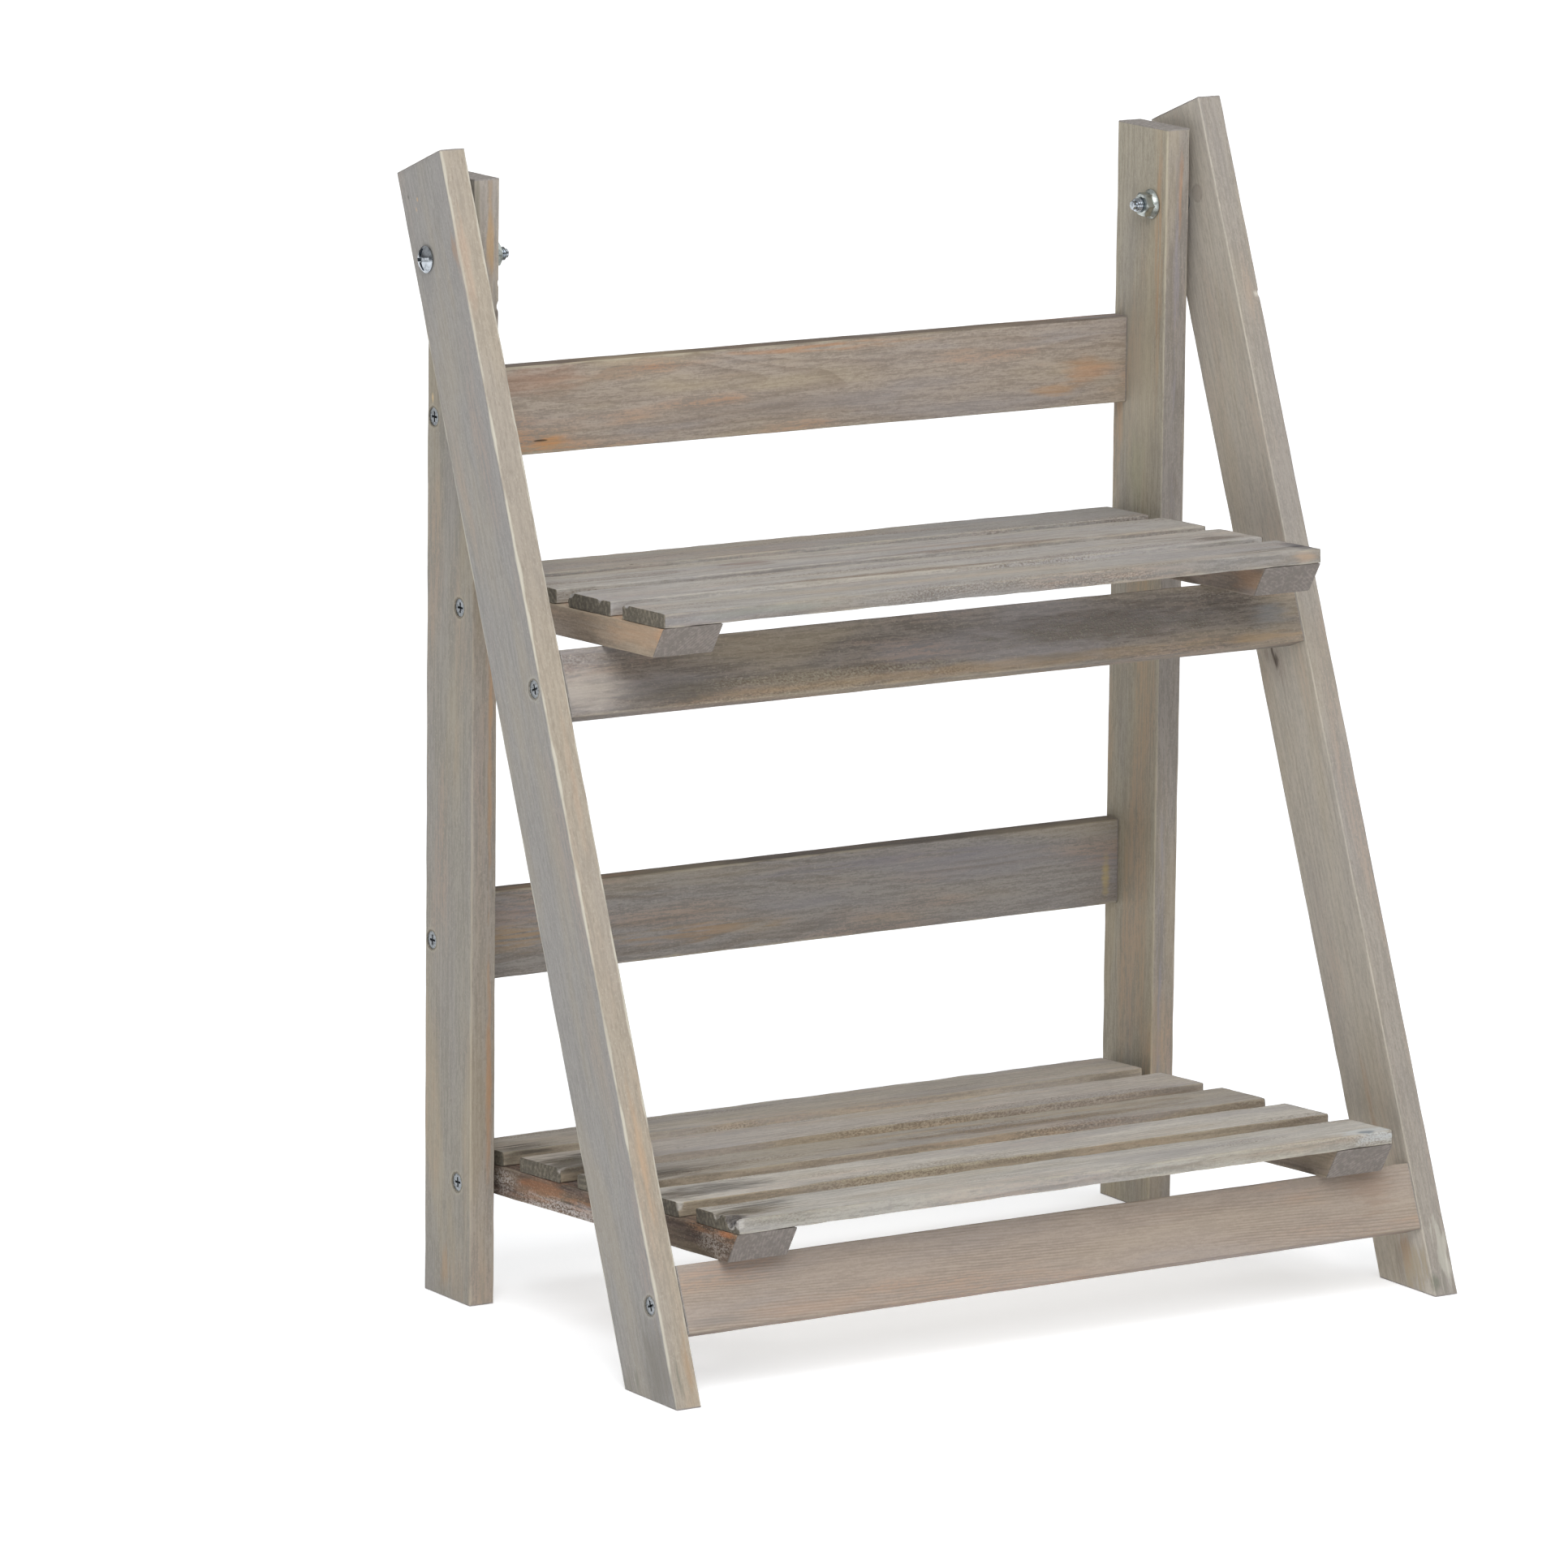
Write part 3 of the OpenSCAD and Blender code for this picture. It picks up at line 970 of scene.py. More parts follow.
    def _wear_down(self, solid: Solid) -> None:
        """Wears the board's arrises, faces and ends, always inwards.

        Args:
            solid: The board's solid.
        """
        wear, half, ends = self.wear, self.size / 2, self.ends()
        for vert in solid.verts:
            p = vert.co.copy()
            seat = Vector((p.x + self.growth.seed * SEED_STEP, p.y, p.z))
            edge = (half.y - abs(p.y)) + (half.z - abs(p.z))
            if edge < wear.arris_reach:
                rub = noise.fractal(seat * RUB_SCALE, 1.0, 2.0, 3)
                push = wear.arris * max(0.0, 0.35 + rub) * (1 - edge / wear.arris_reach)
                vert.co += Vector((0.0, -math.copysign(push, p.y), -math.copysign(push, p.z))) * 0.7
            for axis in (1, 2):
                under = half[axis] - abs(p[axis])
                if under < wear.face_reach:
                    dip = 0.5 + 0.5 * noise.noise(seat * DIP_SCALE)
                    vert.co[axis] -= math.copysign(wear.face * dip * (1 - under / wear.face_reach), p[axis])
            for normal, reach in ends:
                under = reach - p.dot(normal)
                if under < wear.end_reach:
                    tear = 0.5 + 0.5 * noise.fractal(seat * TEAR_SCALE, 1.0, 2.0, 2)
                    vert.co -= normal * wear.end * tear * (1 - under / wear.end_reach)


def board_place(middle: Vector, along: Vector, outward: Vector) -> Matrix:
    """Makes a board's place from its middle, its grain's direction and its shown face.

    Args:
        middle: The board's middle.
        along: The direction of its length.
        outward: The direction of its thickness.

    Returns:
        The matrix from the board's own coordinates to the stand's.
    """
    across = outward.cross(along)
    turn = Matrix((along, across, outward)).transposed().to_4x4()
    return Matrix.Translation(middle) @ turn


def report(made: bpy.types.Object, body: str) -> None:
    """Logs a piece's name, body, size and number of triangles.

    Args:
        made: The piece.
        body: The body that it rides on.
    """
    made.data.calc_loop_triangles()
    spans = [round(span / MM, 1) for span in made.dimensions]
    LOG.info("%s rides on %s: %s mm, %d triangles", made.name, body, spans, len(made.data.loop_triangles))


# ---- the stand -------------------------------------------------------------------


@dataclass(frozen=True)
class Stand:
    """Sizes that the stand's sub-assemblies share, in metres."""

    width: float = 410 * MM
    depth: float = 240 * MM
    height: float = 515 * MM
    board: float = 12.5 * MM
    leg_width: float = 39.5 * MM
    post_width: float = 39.5 * MM
    leg_rise: float = 14 * MM
    bolt_drop: float = 35 * MM
    leg_gap: float = 4.5 * MM
    shelf_gap: float = 4 * MM
    pivot_in: float = 27.95 * MM
    leg_inset: float = 27.55 * MM
    front_rail_height: float = 30 * MM
    front_rail_board: float = 12.5 * MM
    screw_shank: float = 2.05 * MM
    screw_head: float = 4.05 * MM
    screw_head_depth: float = 2.6 * MM
    pivot_shank: float = 2.08 * MM
    bolt_shank: float = 3.08 * MM
    drill_past: float = 2 * MM

    @property
    def leg_out(self) -> float:
        """X of the legs' outer faces."""
        return self.width / 2

    @property
    def leg_in(self) -> float:
        """X of the legs' inner faces."""
        return self.leg_out - self.board

    @property
    def post_out(self) -> float:
        """X of the posts' outer faces."""
        return self.leg_in - self.leg_gap

    @property
    def post_in(self) -> float:
        """X of the posts' inner faces."""
        return self.post_out - self.board

    @property
    def shelf_out(self) -> float:
        """X of the shelves' ends."""
        return self.post_in - self.shelf_gap

    @property
    def pivot_y(self) -> float:
        """Y of all the pivots."""
        return self.depth / 2 - self.pivot_in

    @property
    def post_height(self) -> float:
        """Height of the posts."""
        return self.height - self.leg_rise

    @property
    def bolt_z(self) -> float:
        """Height of the pivot bolts."""
        return self.post_height - self.bolt_drop

    @property
    def lean(self) -> float:
        """The legs' lean from upright, in radians.

        Returns:
            The angle.
        """
        reach = self.pivot_y + self.depth / 2
        span = math.hypot(reach, self.bolt_z)
        return math.atan2(reach, self.bolt_z) - math.asin(self.leg_inset / span)

    @property
    def leg_length(self) -> float:
        """Length of a leg along its front."""
        return self.height / math.cos(self.lean)

    @property
    def up_leg(self) -> Vector:
        """Direction up the legs."""
        return Vector((0.0, math.sin(self.lean), math.cos(self.lean)))

    @property
    def out_front(self) -> Vector:
        """Direction that the legs' front faces look in."""
        return Vector((0.0, -math.cos(self.lean), math.sin(self.lean)))

    def in_front(self, x: float, along: float, behind: float) -> Vector:
        """Finds a point of the leaning front frame.

        Args:
            x: How far right it is.
            along: How far up the legs, from the toes.
            behind: How far behind the legs' front faces.

        Returns:
            The point.
        """
        toe = Vector((x, -self.depth / 2, 0.0))
        return toe + self.up_leg * along - self.out_front * behind

    def hole(self, at: Vector, outward: Vector) -> Hole:
        """Makes a pivot bolt's plain hole, right through a board."""
        return Hole(at, -outward, self.bolt_shank, self.board + self.drill_past)

    def screw_hole(self, at: Vector, outward: Vector, shank: float) -> Hole:
        """Makes the hole of a screw of that shank, which is driven into a face at a point."""
        wide = {"head": self.screw_head, "head_depth": self.screw_head_depth}
        return replace(self.hole(at, outward), shank=shank, chewed=True, **wide)


@dataclass(frozen=True)
class RearFrame:
    """The two upright posts and the two rails between them."""

    stand: Stand = Stand()
    rail_height: float = 39.5 * MM
    rail_board: float = 10.5 * MM
    rail_feet: tuple[float, float] = (373 * MM, 139.5 * MM)
    shelf_pivots: tuple[float, float] = (311.5 * MM, 54.2 * MM)

    def build(self) -> None:
        """Makes the posts and the rails."""
        for side in Side:
            self.post(side).build()
        for which, foot in zip(("upper", "lower"), self.rail_feet):
            self.rail(which, foot).build()

    def post(self, side: Side) -> Board:
        """Describes one post.

        Args:
            side: The side it stands on.

        Returns:
            The post.
        """
        s = self.stand
        outward = X_AXIS * side.value
        face = side.value * s.post_out
        middle_x = side.value * (s.post_in + s.post_out) / 2
        middle = Vector((middle_x, s.depth / 2 - s.post_width / 2, s.post_height / 2))
        rail_y = s.depth / 2 - self.rail_board / 2
        holes = [s.hole(Vector((face, s.pivot_y, s.bolt_z)), outward)]
        for foot in self.rail_feet:
            at = Vector((face, rail_y, foot + self.rail_height / 2))
            holes.append(s.screw_hole(at, outward, s.screw_shank))
        for height in self.shelf_pivots:
            holes.append(s.screw_hole(Vector((face, s.pivot_y, height)), outward, s.pivot_shank))
        size = Vector((s.post_height, s.post_width, s.board))
        place = board_place(middle, Z_AXIS * side.value, outward)
        name = "rear_post_" + side.name.lower()
        return Board(name, "rear_frame", "post_wood", size, place, holes=tuple(holes))

    def rail(self, which: str, foot: float) -> Board:
        """Describes one back rail.

        Args:
            which: upper or lower.
            foot: The height of its lower edge.

        Returns:
            The rail.
        """
        s = self.stand
        middle = Vector((0.0, s.depth / 2 - self.rail_board / 2, foot + self.rail_height / 2))
        size = Vector((2 * s.post_in, self.rail_height, self.rail_board))
        place = board_place(middle, X_AXIS, Vector((0.0, -1.0, 0.0)))
        return Board("back_rail_" + which, "rear_frame", "rail_wood", size, place)


@dataclass(frozen=True)
class FrontFrame:
    """The two leaning legs and the two rails between them."""

    stand: Stand = Stand()
    rail_feet: tuple[float, float] = (300.554 * MM, 31.444 * MM)

    def build(self) -> None:
        """Makes the legs and the rails."""
        for side in Side:
            self.leg(side).build()
        for which, foot in zip(("upper", "lower"), self.rail_feet):
            self.rail(which, foot).build()

    def leg(self, side: Side) -> Board:
        """Describes one leg, whose foot is cut flat to the ground.

        Args:
            side: The side it stands on.

        Returns:
            The leg.
        """
        s = self.stand
        outward = X_AXIS * side.value
        middle = s.in_front(side.value * (s.leg_in + s.leg_out) / 2, s.leg_length / 2, s.leg_width / 2)
        face = side.value * s.leg_out
        holes = [s.hole(Vector((face, s.pivot_y, s.bolt_z)), outward)]
        for foot in self.rail_feet:
            at = s.in_front(face, foot + s.front_rail_height / 2, s.front_rail_board / 2)
            holes.append(s.screw_hole(at, outward, s.screw_shank))
        size = Vector((s.leg_length, s.leg_width, s.board))
        place = board_place(middle, s.up_leg * side.value, outward)
        ground = (Vector((0.0, 0.0, 0.0)), -Z_AXIS)
        name = "front_leg_" + side.name.lower()
        return Board(name, "front_frame", "leg_wood", size, place, cuts=(ground,), holes=tuple(holes))

    def rail(self, which: str, foot: float) -> Board:
        """Describes one front rail.

        Args:
            which: upper or lower.
            foot: How far up the legs it starts.

        Returns:
            The rail.
        """
        s = self.stand
        middle = s.in_front(0.0, foot + s.front_rail_height / 2, s.front_rail_board / 2)
        size = Vector((2 * s.leg_in, s.front_rail_height, s.front_rail_board))
        place = board_place(middle, X_AXIS, s.out_front)
        return Board("front_rail_" + which, "front_frame", "rail_wood", size, place)


@dataclass(frozen=True)
class Shelf:
    """A slatted shelf: two bearers and the slats across them.

    front and rear are how far it reaches from its pivots, and tilt is how much it
    rises towards the front.
    """

    name: str
    pivot_z: float
    tilt: float
    front: float
    rear: float
    slats: int
    stand: Stand = Stand()
    bearer_width: float = 30 * MM
    bearer_board: float = 13.5 * MM
    bearer_bevel: float = 9 * MM
    slat_width: float = 34.4 * MM
    slat_board: float = 6.5 * MM
    brad_head: float = 1.65 * MM
    brad_hole: float = 1.2 * MM
    slat_wear: Wear = Wear(arris=0.5 * MM, face=0.14 * MM, end=0.5 * MM, cell=2.6 * MM)

    @property
    def back(self) -> Vector:
        """Direction to the shelf's back."""
        return Vector((0.0, math.cos(self.tilt), -math.sin(self.tilt)))

    @property
    def up(self) -> Vector:
        """Direction that the slats' tops look in."""
        return Vector((0.0, math.sin(self.tilt), math.cos(self.tilt)))

    def point(self, x: float, forward: float, above: float) -> Vector:
        """Finds a point of the shelf from its distances in front of and above the pivots."""
        pivot = Vector((x, self.stand.pivot_y, self.pivot_z))
        return pivot - self.back * forward + self.up * above

    def slat_mid(self, number: int) -> float:
        """Finds how far in front of the pivots the middle of a slat is."""
        span = self.front + self.rear - self.slat_width
        return self.slat_width / 2 - self.rear + (number - 1) * span / (self.slats - 1)

    def build(self) -> None:
        """Makes the bearers and the slats."""
        for side in Side:
            self.bearer(side).build()
        for number in range(1, self.slats + 1):
            self.slat(number).build()

    def bearer(self, side: Side) -> Board:
        """Describes one bearer, whose front end is cut back at its underside.

        Args:
            side: The side it lies on.

        Returns:
            The bearer.
        """
        x = side.value * (self.stand.shelf_out - self.bearer_width / 2)
        length = self.front + self.rear
        top = self.point(0.0, self.front, self.bearer_board / 2)
        normal = (-self.back * self.bearer_board - self.up * self.bearer_bevel).normalized()
        heads = []
        for number in range(1, self.slats + 1):
            at = self.point(x, self.slat_mid(number), -self.bearer_board / 2)
            heads.append(Hole(at, self.up, self.brad_head, self.brad_hole))
        size = Vector((length, self.bearer_width, self.bearer_board))
        place = board_place(self.point(x, length / 2 - self.rear, 0.0), -self.back, self.up)
        name = f"{self.name}_bearer_{side.name.lower()}"
        body = self.name + "_shelf"
        return Board(name, body, "bearer_wood", size, place, cuts=((top, normal),), holes=tuple(heads))

    def slat(self, number: int) -> Board:
        """Describes one slat.

        Args:
            number: Which slat, counted from 1 at the back.

        Returns:
            The slat.
        """
        above = self.bearer_board / 2 + self.slat_board / 2
        place = board_place(self.point(0.0, self.slat_mid(number), above), X_AXIS, self.up)
        size = Vector((2 * self.stand.shelf_out, self.slat_width, self.slat_board))
        name = f"{self.name}_slat_{number}"
        return Board(name, self.name + "_shelf", "slat_wood", size, place, self.slat_wear)


@dataclass(frozen=True)
class Fasteners:
    """The zinc-plated bolts, nuts, screws, spacers and brads."""

    stand: Stand = Stand()
    play: float = 0.1 * MM
    head: float = 6.0 * MM
    head_height: float = 3.4 * MM
    rim_share: float = 0.24
    dome_steps: int = 10
    slot: tuple[float, float, float] = (9.6 * MM, 1.6 * MM, 2.6 * MM)
    bolt: float = 3.0 * MM
    bolt_end: float = 40.4 * MM
    pitch: float = 1.0 * MM
    turns: int = 3
    thread_depth: float = 0.55 * MM
    point: tuple[float, float] = (2.04 * MM, 1.5 * MM)
    nut_flats: float = 10 * MM
    nut_height: float = 6 * MM
    flange: float = 6.7 * MM
    flange_edge: float = 1.2 * MM
    drive_turn: float = 0.12
    nut_turn: float = math.radians(24)
    bright: Zinc = Zinc()
    clouded: Zinc = Zinc(colour="#c0c6c2", shadow="#8c918d", rough=0.24)
    dull: Zinc = Zinc(colour="#9ea2a5", shadow="#56595b", rough=0.30, spangle=1400.0, relief=0.5)
    bright_nodes: tuple[str, ...] = ("leg_spacers",)
    dull_nodes: tuple[str, ...] = (
        "back_rail_screws",
        "front_rail_screws",
        "upper_pivot_screws",
        "lower_pivot_screws",
        "upper_slat_brads",
        "lower_slat_brads",
    )

    def build(self) -> None:
        """Makes the bolts and nuts, and dresses the frame's own fasteners in zinc."""
        self._place("pivot_bolts", self.pivot_bolt, self.stand.leg_out + self.play, self.bright)
        self._place("flange_nuts", self.flange_nut, self.stand.post_in, self.clouded)
        for nodes, metal in ((self.bright_nodes, self.bright), (self.dull_nodes, self.dull)):
            for name in nodes:
                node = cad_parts[name]
                finish = metal.dress(name + "_zinc")
                node.data.materials.clear()
                node.data.materials.append(finish)
                LOG.info("%s is dressed in zinc", name)

    def _place(self, node: str, make: Callable[[Vector, Vector], Solid], x: float, metal: Zinc) -> None:
        """Makes a fastener on both sides.

        Args:
            node: The plain solid that the pair stands for.
            make: Makes one, from a point and the direction out of the stand.
            x: How far out the fasteners sit.
            metal: Their finish.
        """
        at = (self.stand.pivot_y, self.stand.bolt_z)
        pair = [make(Vector((side.value * x, *at)), X_AXIS * side.value) for side in Side]
        solid = gathered(pair)
        smoothed(solid, 0.5)
        made = show(node + "_pair", solid)
        made.data.materials.append(metal.dress(made.name + "_zinc"))
        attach(made, "rear_frame")
        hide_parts(node)
        report(made, "rear_frame")

    def pivot_bolt(self, at: Vector, outward: Vector) -> Solid:
        """Turns a bolt with a domed head, a cross recess and a dog point.

        Args:
            at: The middle of its head's seat.
            outward: The direction that its head looks in.

        Returns:
            The bolt.
        """
        place = facing(at, outward)
        rim = self.head_height * self.rim_share
        rise = self.head_height - rim
        ball = (self.head**2 + rise**2) / (2 * rise)
        lift = self.head_height - ball
        widest = math.asin(self.head / ball)
        tilts = [widest * i / self.dome_steps for i in range(self.dome_steps + 1)]
        dome = [(ball * math.sin(tilt), lift + ball * math.cos(tilt)) for tilt in tilts]
        point, tip = self.point
        start = -self.bolt_end + tip
        thread = [(self.bolt - self.thread_depth, start + self.turns * self.pitch)]
        for turn in reversed(range(self.turns)):
            crest = start + (turn + 0.5) * self.pitch
            thread += [(self.bolt, crest + 0.06 * MM), (self.bolt, crest - 0.06 * MM)]
            thread += [(self.bolt - self.thread_depth, start + turn * self.pitch)]
        outline = dome + [(self.head - 0.25 * MM, 0.0), (self.bolt, 0.0), (self.bolt, thread[0][1])] + thread
        outline += [(point, start), (point, -self.bolt_end + 0.3 * MM), (point - 0.3 * MM, -self.bolt_end)]
        solid = turned(outline + [(0.0, -self.bolt_end)], place)
        span, width, depth = self.slot
        above = 0.1 * MM
        heart = turned([(0.0, above), (width * 1.05, above), (width * 0.5, -depth), (0.0, -depth)], Matrix())
        top = place @ Matrix.Translation((0.0, 0.0, self.head_height))
        for size in ((span, width, depth * 2), (width, span, depth * 2)):
            arm = block(size, top @ Matrix.Rotation(self.drive_turn, 4, "Z"))
            solid = combined(solid, arm, "DIFFERENCE")
        bmesh.ops.transform(heart, matrix=top, verts=heart.verts[:])
        return combined(solid, heart, "DIFFERENCE")

    def flange_nut(self, at: Vector, outward: Vector) -> Solid:
        """Makes a hexagon nut with a round flange, seen from inside the stand.

        Args:
            at: The middle of its seat.
            outward: The direction out of the stand, which its seat looks in.

        Returns:
            The nut.
        """
        place = facing(at, -outward) @ Matrix.Rotation(self.nut_turn, 4, "Z")
        corner = self.nut_flats / math.sqrt(3)
        hexagon = bmesh.new()
        cone = {"cap_ends": True, "segments": 6, "radius1": corner, "radius2": corner}
        bmesh.ops.create_cone(hexagon, depth=self.nut_height, **cone)
        bmesh.ops.translate(hexagon, vec=(0, 0, self.nut_height / 2), verts=hexagon.verts[:])
        top, flats = self.nut_height, self.nut_flats / 2
        chamfer = [(0.0, 0.01 * MM), (corner + MM, 0.01 * MM), (corner + MM, top - 1.4 * MM)]
        chamfer += [(flats - 0.3 * MM, top), (0.0, top)]
        hexagon = combined(hexagon, turned(chamfer, Matrix()), "INTERSECT")
        edge = self.flange_edge
        lip = 0.3 * MM
        skirt = [(0.0, 0.0), (self.flange - lip, 0.0), (self.flange, lip), (self.flange, edge * 0.6)]
        skirt += [(self.flange - lip, edge * 0.8), (flats + 0.4 * MM, edge + 1.2 * MM)]
        skirt += [(0.0, edge + 1.3 * MM)]
        nut = combined(hexagon, turned(skirt, Matrix()), "UNION")
        bore = self.bolt + 0.05 * MM
        lead = [(0.0, -MM), (bore, -MM), (bore, top - 0.5 * MM), (bore + 0.6 * MM, top + 0.1 * MM)]
        nut = combined(nut, turned(lead + [(0.0, top + 0.1 * MM)], Matrix()), "DIFFERENCE")
        bmesh.ops.transform(nut, matrix=place, verts=nut.verts[:])
        bmesh.ops.recalc_face_normals(nut, faces=nut.faces[:])
        return nut


# ---- this stand's boards, one by one ---------------------------------------------


def bearer_pine_with_painted_shade(wash: str, **numbers: float) -> Pine:
    """Finishes a bearer, whose ends are a little darker than the other boards' and whose wash is darker as
    painted shade under the slats.
    """
    return Pine(wash=wash, end_dark="#746e69", end_light="#8d8580", wear=0.2, **numbers)


def slat_pine_with_painted_light(top: str, front: str) -> Pine:
    """Finishes a slat, which has torn grain and dirty ends.

    Args:
        top: The wash on the slat's faces, on most slats lighter than the legs' as painted light from above.
        front: The wash on its front edge.

    Returns:
        The finish.
    """
    return Pine(
        wash=top,
        coats_and_painted_shading=(Coat(Face.MINUS_EDGE, front),),
        end_dark="#5b564c",
        end_light="#847c6d",
        grain=0.18,
        thin=0.2,
        warmth=0.12,
        wear=0.3,
        torn=0.6,
        ring=2.5 * MM,
        relief=0.5,
    )


# Each board's wash, set board by board and face by face. Besides the wood's own finish they hold painted
# light and shade, noted at each board.
PINE: dict[str, Pine] = {
    "rear_post_left": Pine(
        wash="#98938a",
        coats_and_painted_shading=(Coat(Face.PLUS_EDGE, "#9b9389"),),
        grain=0.14, cool=0.2, warmth=0.15, lines=0.1, wear=0.3,
    ),
    "rear_post_right": Pine(
        wash="#958e86",
        # The inner face's coat is lighter than the post's wash: painted light.
        coats_and_painted_shading=(Coat(Face.INNER, "#a59e8f"),),
        grain=0.16, cool=0.2, warmth=0.25, lines=0.12, wear=0.35,
    ),
    "front_leg_left": Pine(
        wash="#999692",
        coats_and_painted_shading=(Coat(Face.PLUS_EDGE, "#a49a8c"),),
        worn="#c6c1b3",
        grain=0.11, cool=0.14, thin=0.2, warmth=0.12, lines=0.04, wear=0.85,
    ),
    "front_leg_right": Pine(
        wash="#9c958c",
        # The inner face's coat is lighter than the leg's wash: painted light.
        coats_and_painted_shading=(Coat(Face.INNER, "#b6afa4"),),
        grain=0.13, cool=0.15, thin=0.2, warmth=0.12, lines=0.1, wear=0.06,
    ),
    "back_rail_upper": Pine(
        wash="#a5998d",
        coats_and_painted_shading=(Coat(Face.PLUS_EDGE, "#6f645a"),),
        cool=0.45, thin=0.45, warmth=0.55, lines=0.25,
    ),
    "back_rail_lower": Pine(
        wash="#97928d",
        coats_and_painted_shading=(Coat(Face.PLUS_EDGE, "#736c66"),),
        cool=0.5, thin=0.25, warmth=0.2, lines=0.3,
    ),
    "front_rail_upper": Pine(
        # The wash is darker than the legs': painted shade from the upper shelf above it.
        wash="#837b73",
        grain=0.26, cool=0.4, thin=0.3, warmth=0.15, lines=0.15, wear=0.2,
        torn=0.5, relief=0.5,
    ),
    "front_rail_lower": Pine(
        wash="#a4978b",
        # The underside's coat is darker than the rail's wash: painted shade on a face that looks down.
        coats_and_painted_shading=(Coat(Face.MINUS_EDGE, "#897c72"),),
        ring=1.25 * MM,
        grain=0.10, cool=0.2, thin=0.1, warmth=0.2, lines=0.34, pores=0.06, wear=0.2,
    ),
    # The bearers' washes are darker than the legs': painted shade under the slats, slight on the upper left
    # bearer.
    "upper_bearer_left": bearer_pine_with_painted_shade("#9a8c7e", thin=0.2, warmth=0.35, lines=0.08, ring=1.4 * MM),
    "upper_bearer_right": bearer_pine_with_painted_shade("#817468", thin=0.2, warmth=0.3, lines=0.1, ring=1.4 * MM),
    "lower_bearer_left": bearer_pine_with_painted_shade(
        "#685a52", cool=0.3, warmth=0.6, lines=0.5, torn=0.4, grain=0.4, ring=1.6 * MM
    ),
    "lower_bearer_right": bearer_pine_with_painted_shade("#81776e", warmth=0.1, lines=0.15, ring=1.4 * MM),
    # Most slats' tops are washed lighter than the legs: painted light from above.
    "upper_slat_1": slat_pine_with_painted_light("#999692", "#999692"),
    "upper_slat_2": slat_pine_with_painted_light("#a9a5a0", "#a9a5a0"),
    "upper_slat_3": slat_pine_with_painted_light("#aca8a3", "#aca8a3"),
    "upper_slat_4": slat_pine_with_painted_light("#a6a29d", "#8b8783"),
    "lower_slat_1": slat_pine_with_painted_light("#bab3a9", "#a79c8b"),
    "lower_slat_2": slat_pine_with_painted_light("#c2bbb3", "#9c8f7c"),
    "lower_slat_3": slat_pine_with_painted_light("#aea79d", "#9b8f7e"),
    "lower_slat_4": slat_pine_with_painted_light("#c3beb6", "#9d917f"),
    "lower_slat_5": slat_pine_with_painted_light("#bab6af", "#a29e96"),
}
GROWTH: dict[str, Growth] = {
    "rear_post_left": Growth((0.030, -0.020), (0.012, 0.01), 2.0),
    "rear_post_right": Growth((-0.034, -0.016), (0.010, 0.02), 9.0),
    "front_leg_left": Growth((0.036, -0.030), (0.015, 0.01), 21.0),
    "front_leg_right": Growth((0.031, 0.024), (-0.012, 0.01), 27.0),
    "back_rail_upper": Growth((0.004, -0.030), (0.02, 0.01), 33.0),
    "back_rail_lower": Growth((-0.012, -0.026), (0.03, 0.02), 39.0),
    "front_rail_upper": Growth((-0.004, -0.022), (0.02, 0.01), 45.0),
    "front_rail_lower": Growth((0.046, -0.012), (0.05, 0.02), 51.0),
    "upper_bearer_left": Growth((0.07, -0.07), (0.01, 0.01), 57.0, 2 * MM),
    "upper_bearer_right": Growth((-0.04, -0.08), (0.02, 0.01), 61.0, 3 * MM),
    "lower_bearer_left": Growth((0.09, 0.008), (0.01, 0.01), 65.0, 2 * MM),
    "lower_bearer_right": Growth((0.05, -0.08), (0.02, 0.01), 69.0, 3 * MM),
    "upper_slat_1": Growth((0.060, -0.022), (0.020, 0.01), 71.0),
    "upper_slat_2": Growth((-0.004, -0.022), (0.030, 0.02), 77.0),
    "upper_slat_3": Growth((0.052, -0.026), (0.030, 0.02), 83.0),
    "upper_slat_4": Growth((-0.056, 0.026), (0.020, 0.01), 89.0),
    "lower_slat_1": Growth((0.050, -0.024), (0.020, 0.01), 95.0),
    "lower_slat_2": Growth((-0.046, -0.020), (0.020, 0.02), 101.0),
    "lower_slat_3": Growth((0.006, -0.020), (0.030, 0.02), 107.0),
    "lower_slat_4": Growth((0.050, -0.022), (0.012, 0.01), 113.0),
    "lower_slat_5": Growth((0.042, -0.026), (0.018, 0.02), 119.0),
}
CHIPS: dict[str, tuple[Chip, ...]] = {
    "rear_post_left": (
        Chip((-175.6, 80.5, 445), (-0.6, 1, 0), 2.6, 0.9),
        Chip((-175.5, 80.5, 455), (-0.5, 1, 0), 2, 0.5),
    ),
    "front_leg_right": (Chip((205, 47.8, 428.7), (-1, 0.8, 0), 2.2, 0.6),),
    "lower_slat_5": (
        Chip((-171.5, -107.5, 77.5), (1, 0, -0.8), 6, 2.6),
        Chip((-171.5, -114.9, 76), (1, 1, -0.3), 4, 1.6),
        Chip((-171.5, -96, 77), (1, 0, -0.6), 4, 1.2),
    ),
    "lower_slat_4": (Chip((-171.5, -66, 74.5), (1, 1, -0.3), 4, 1.4),),
    "lower_slat_2": (Chip((-171.5, 33, 71), (1, 0.6, -0.6), 4, 1.4),),
    "upper_slat_3": (
        Chip((-171.5, 27.5, 327), (1, -0.5, -0.6), 4, 1.5),
        Chip((-171.5, 3, 328), (1, 0, -1), 3, 0.9),
    ),
    "upper_slat_4": (Chip((-171.5, -18, 329), (1, -0.5, -0.6), 3.5, 1.2),),
}
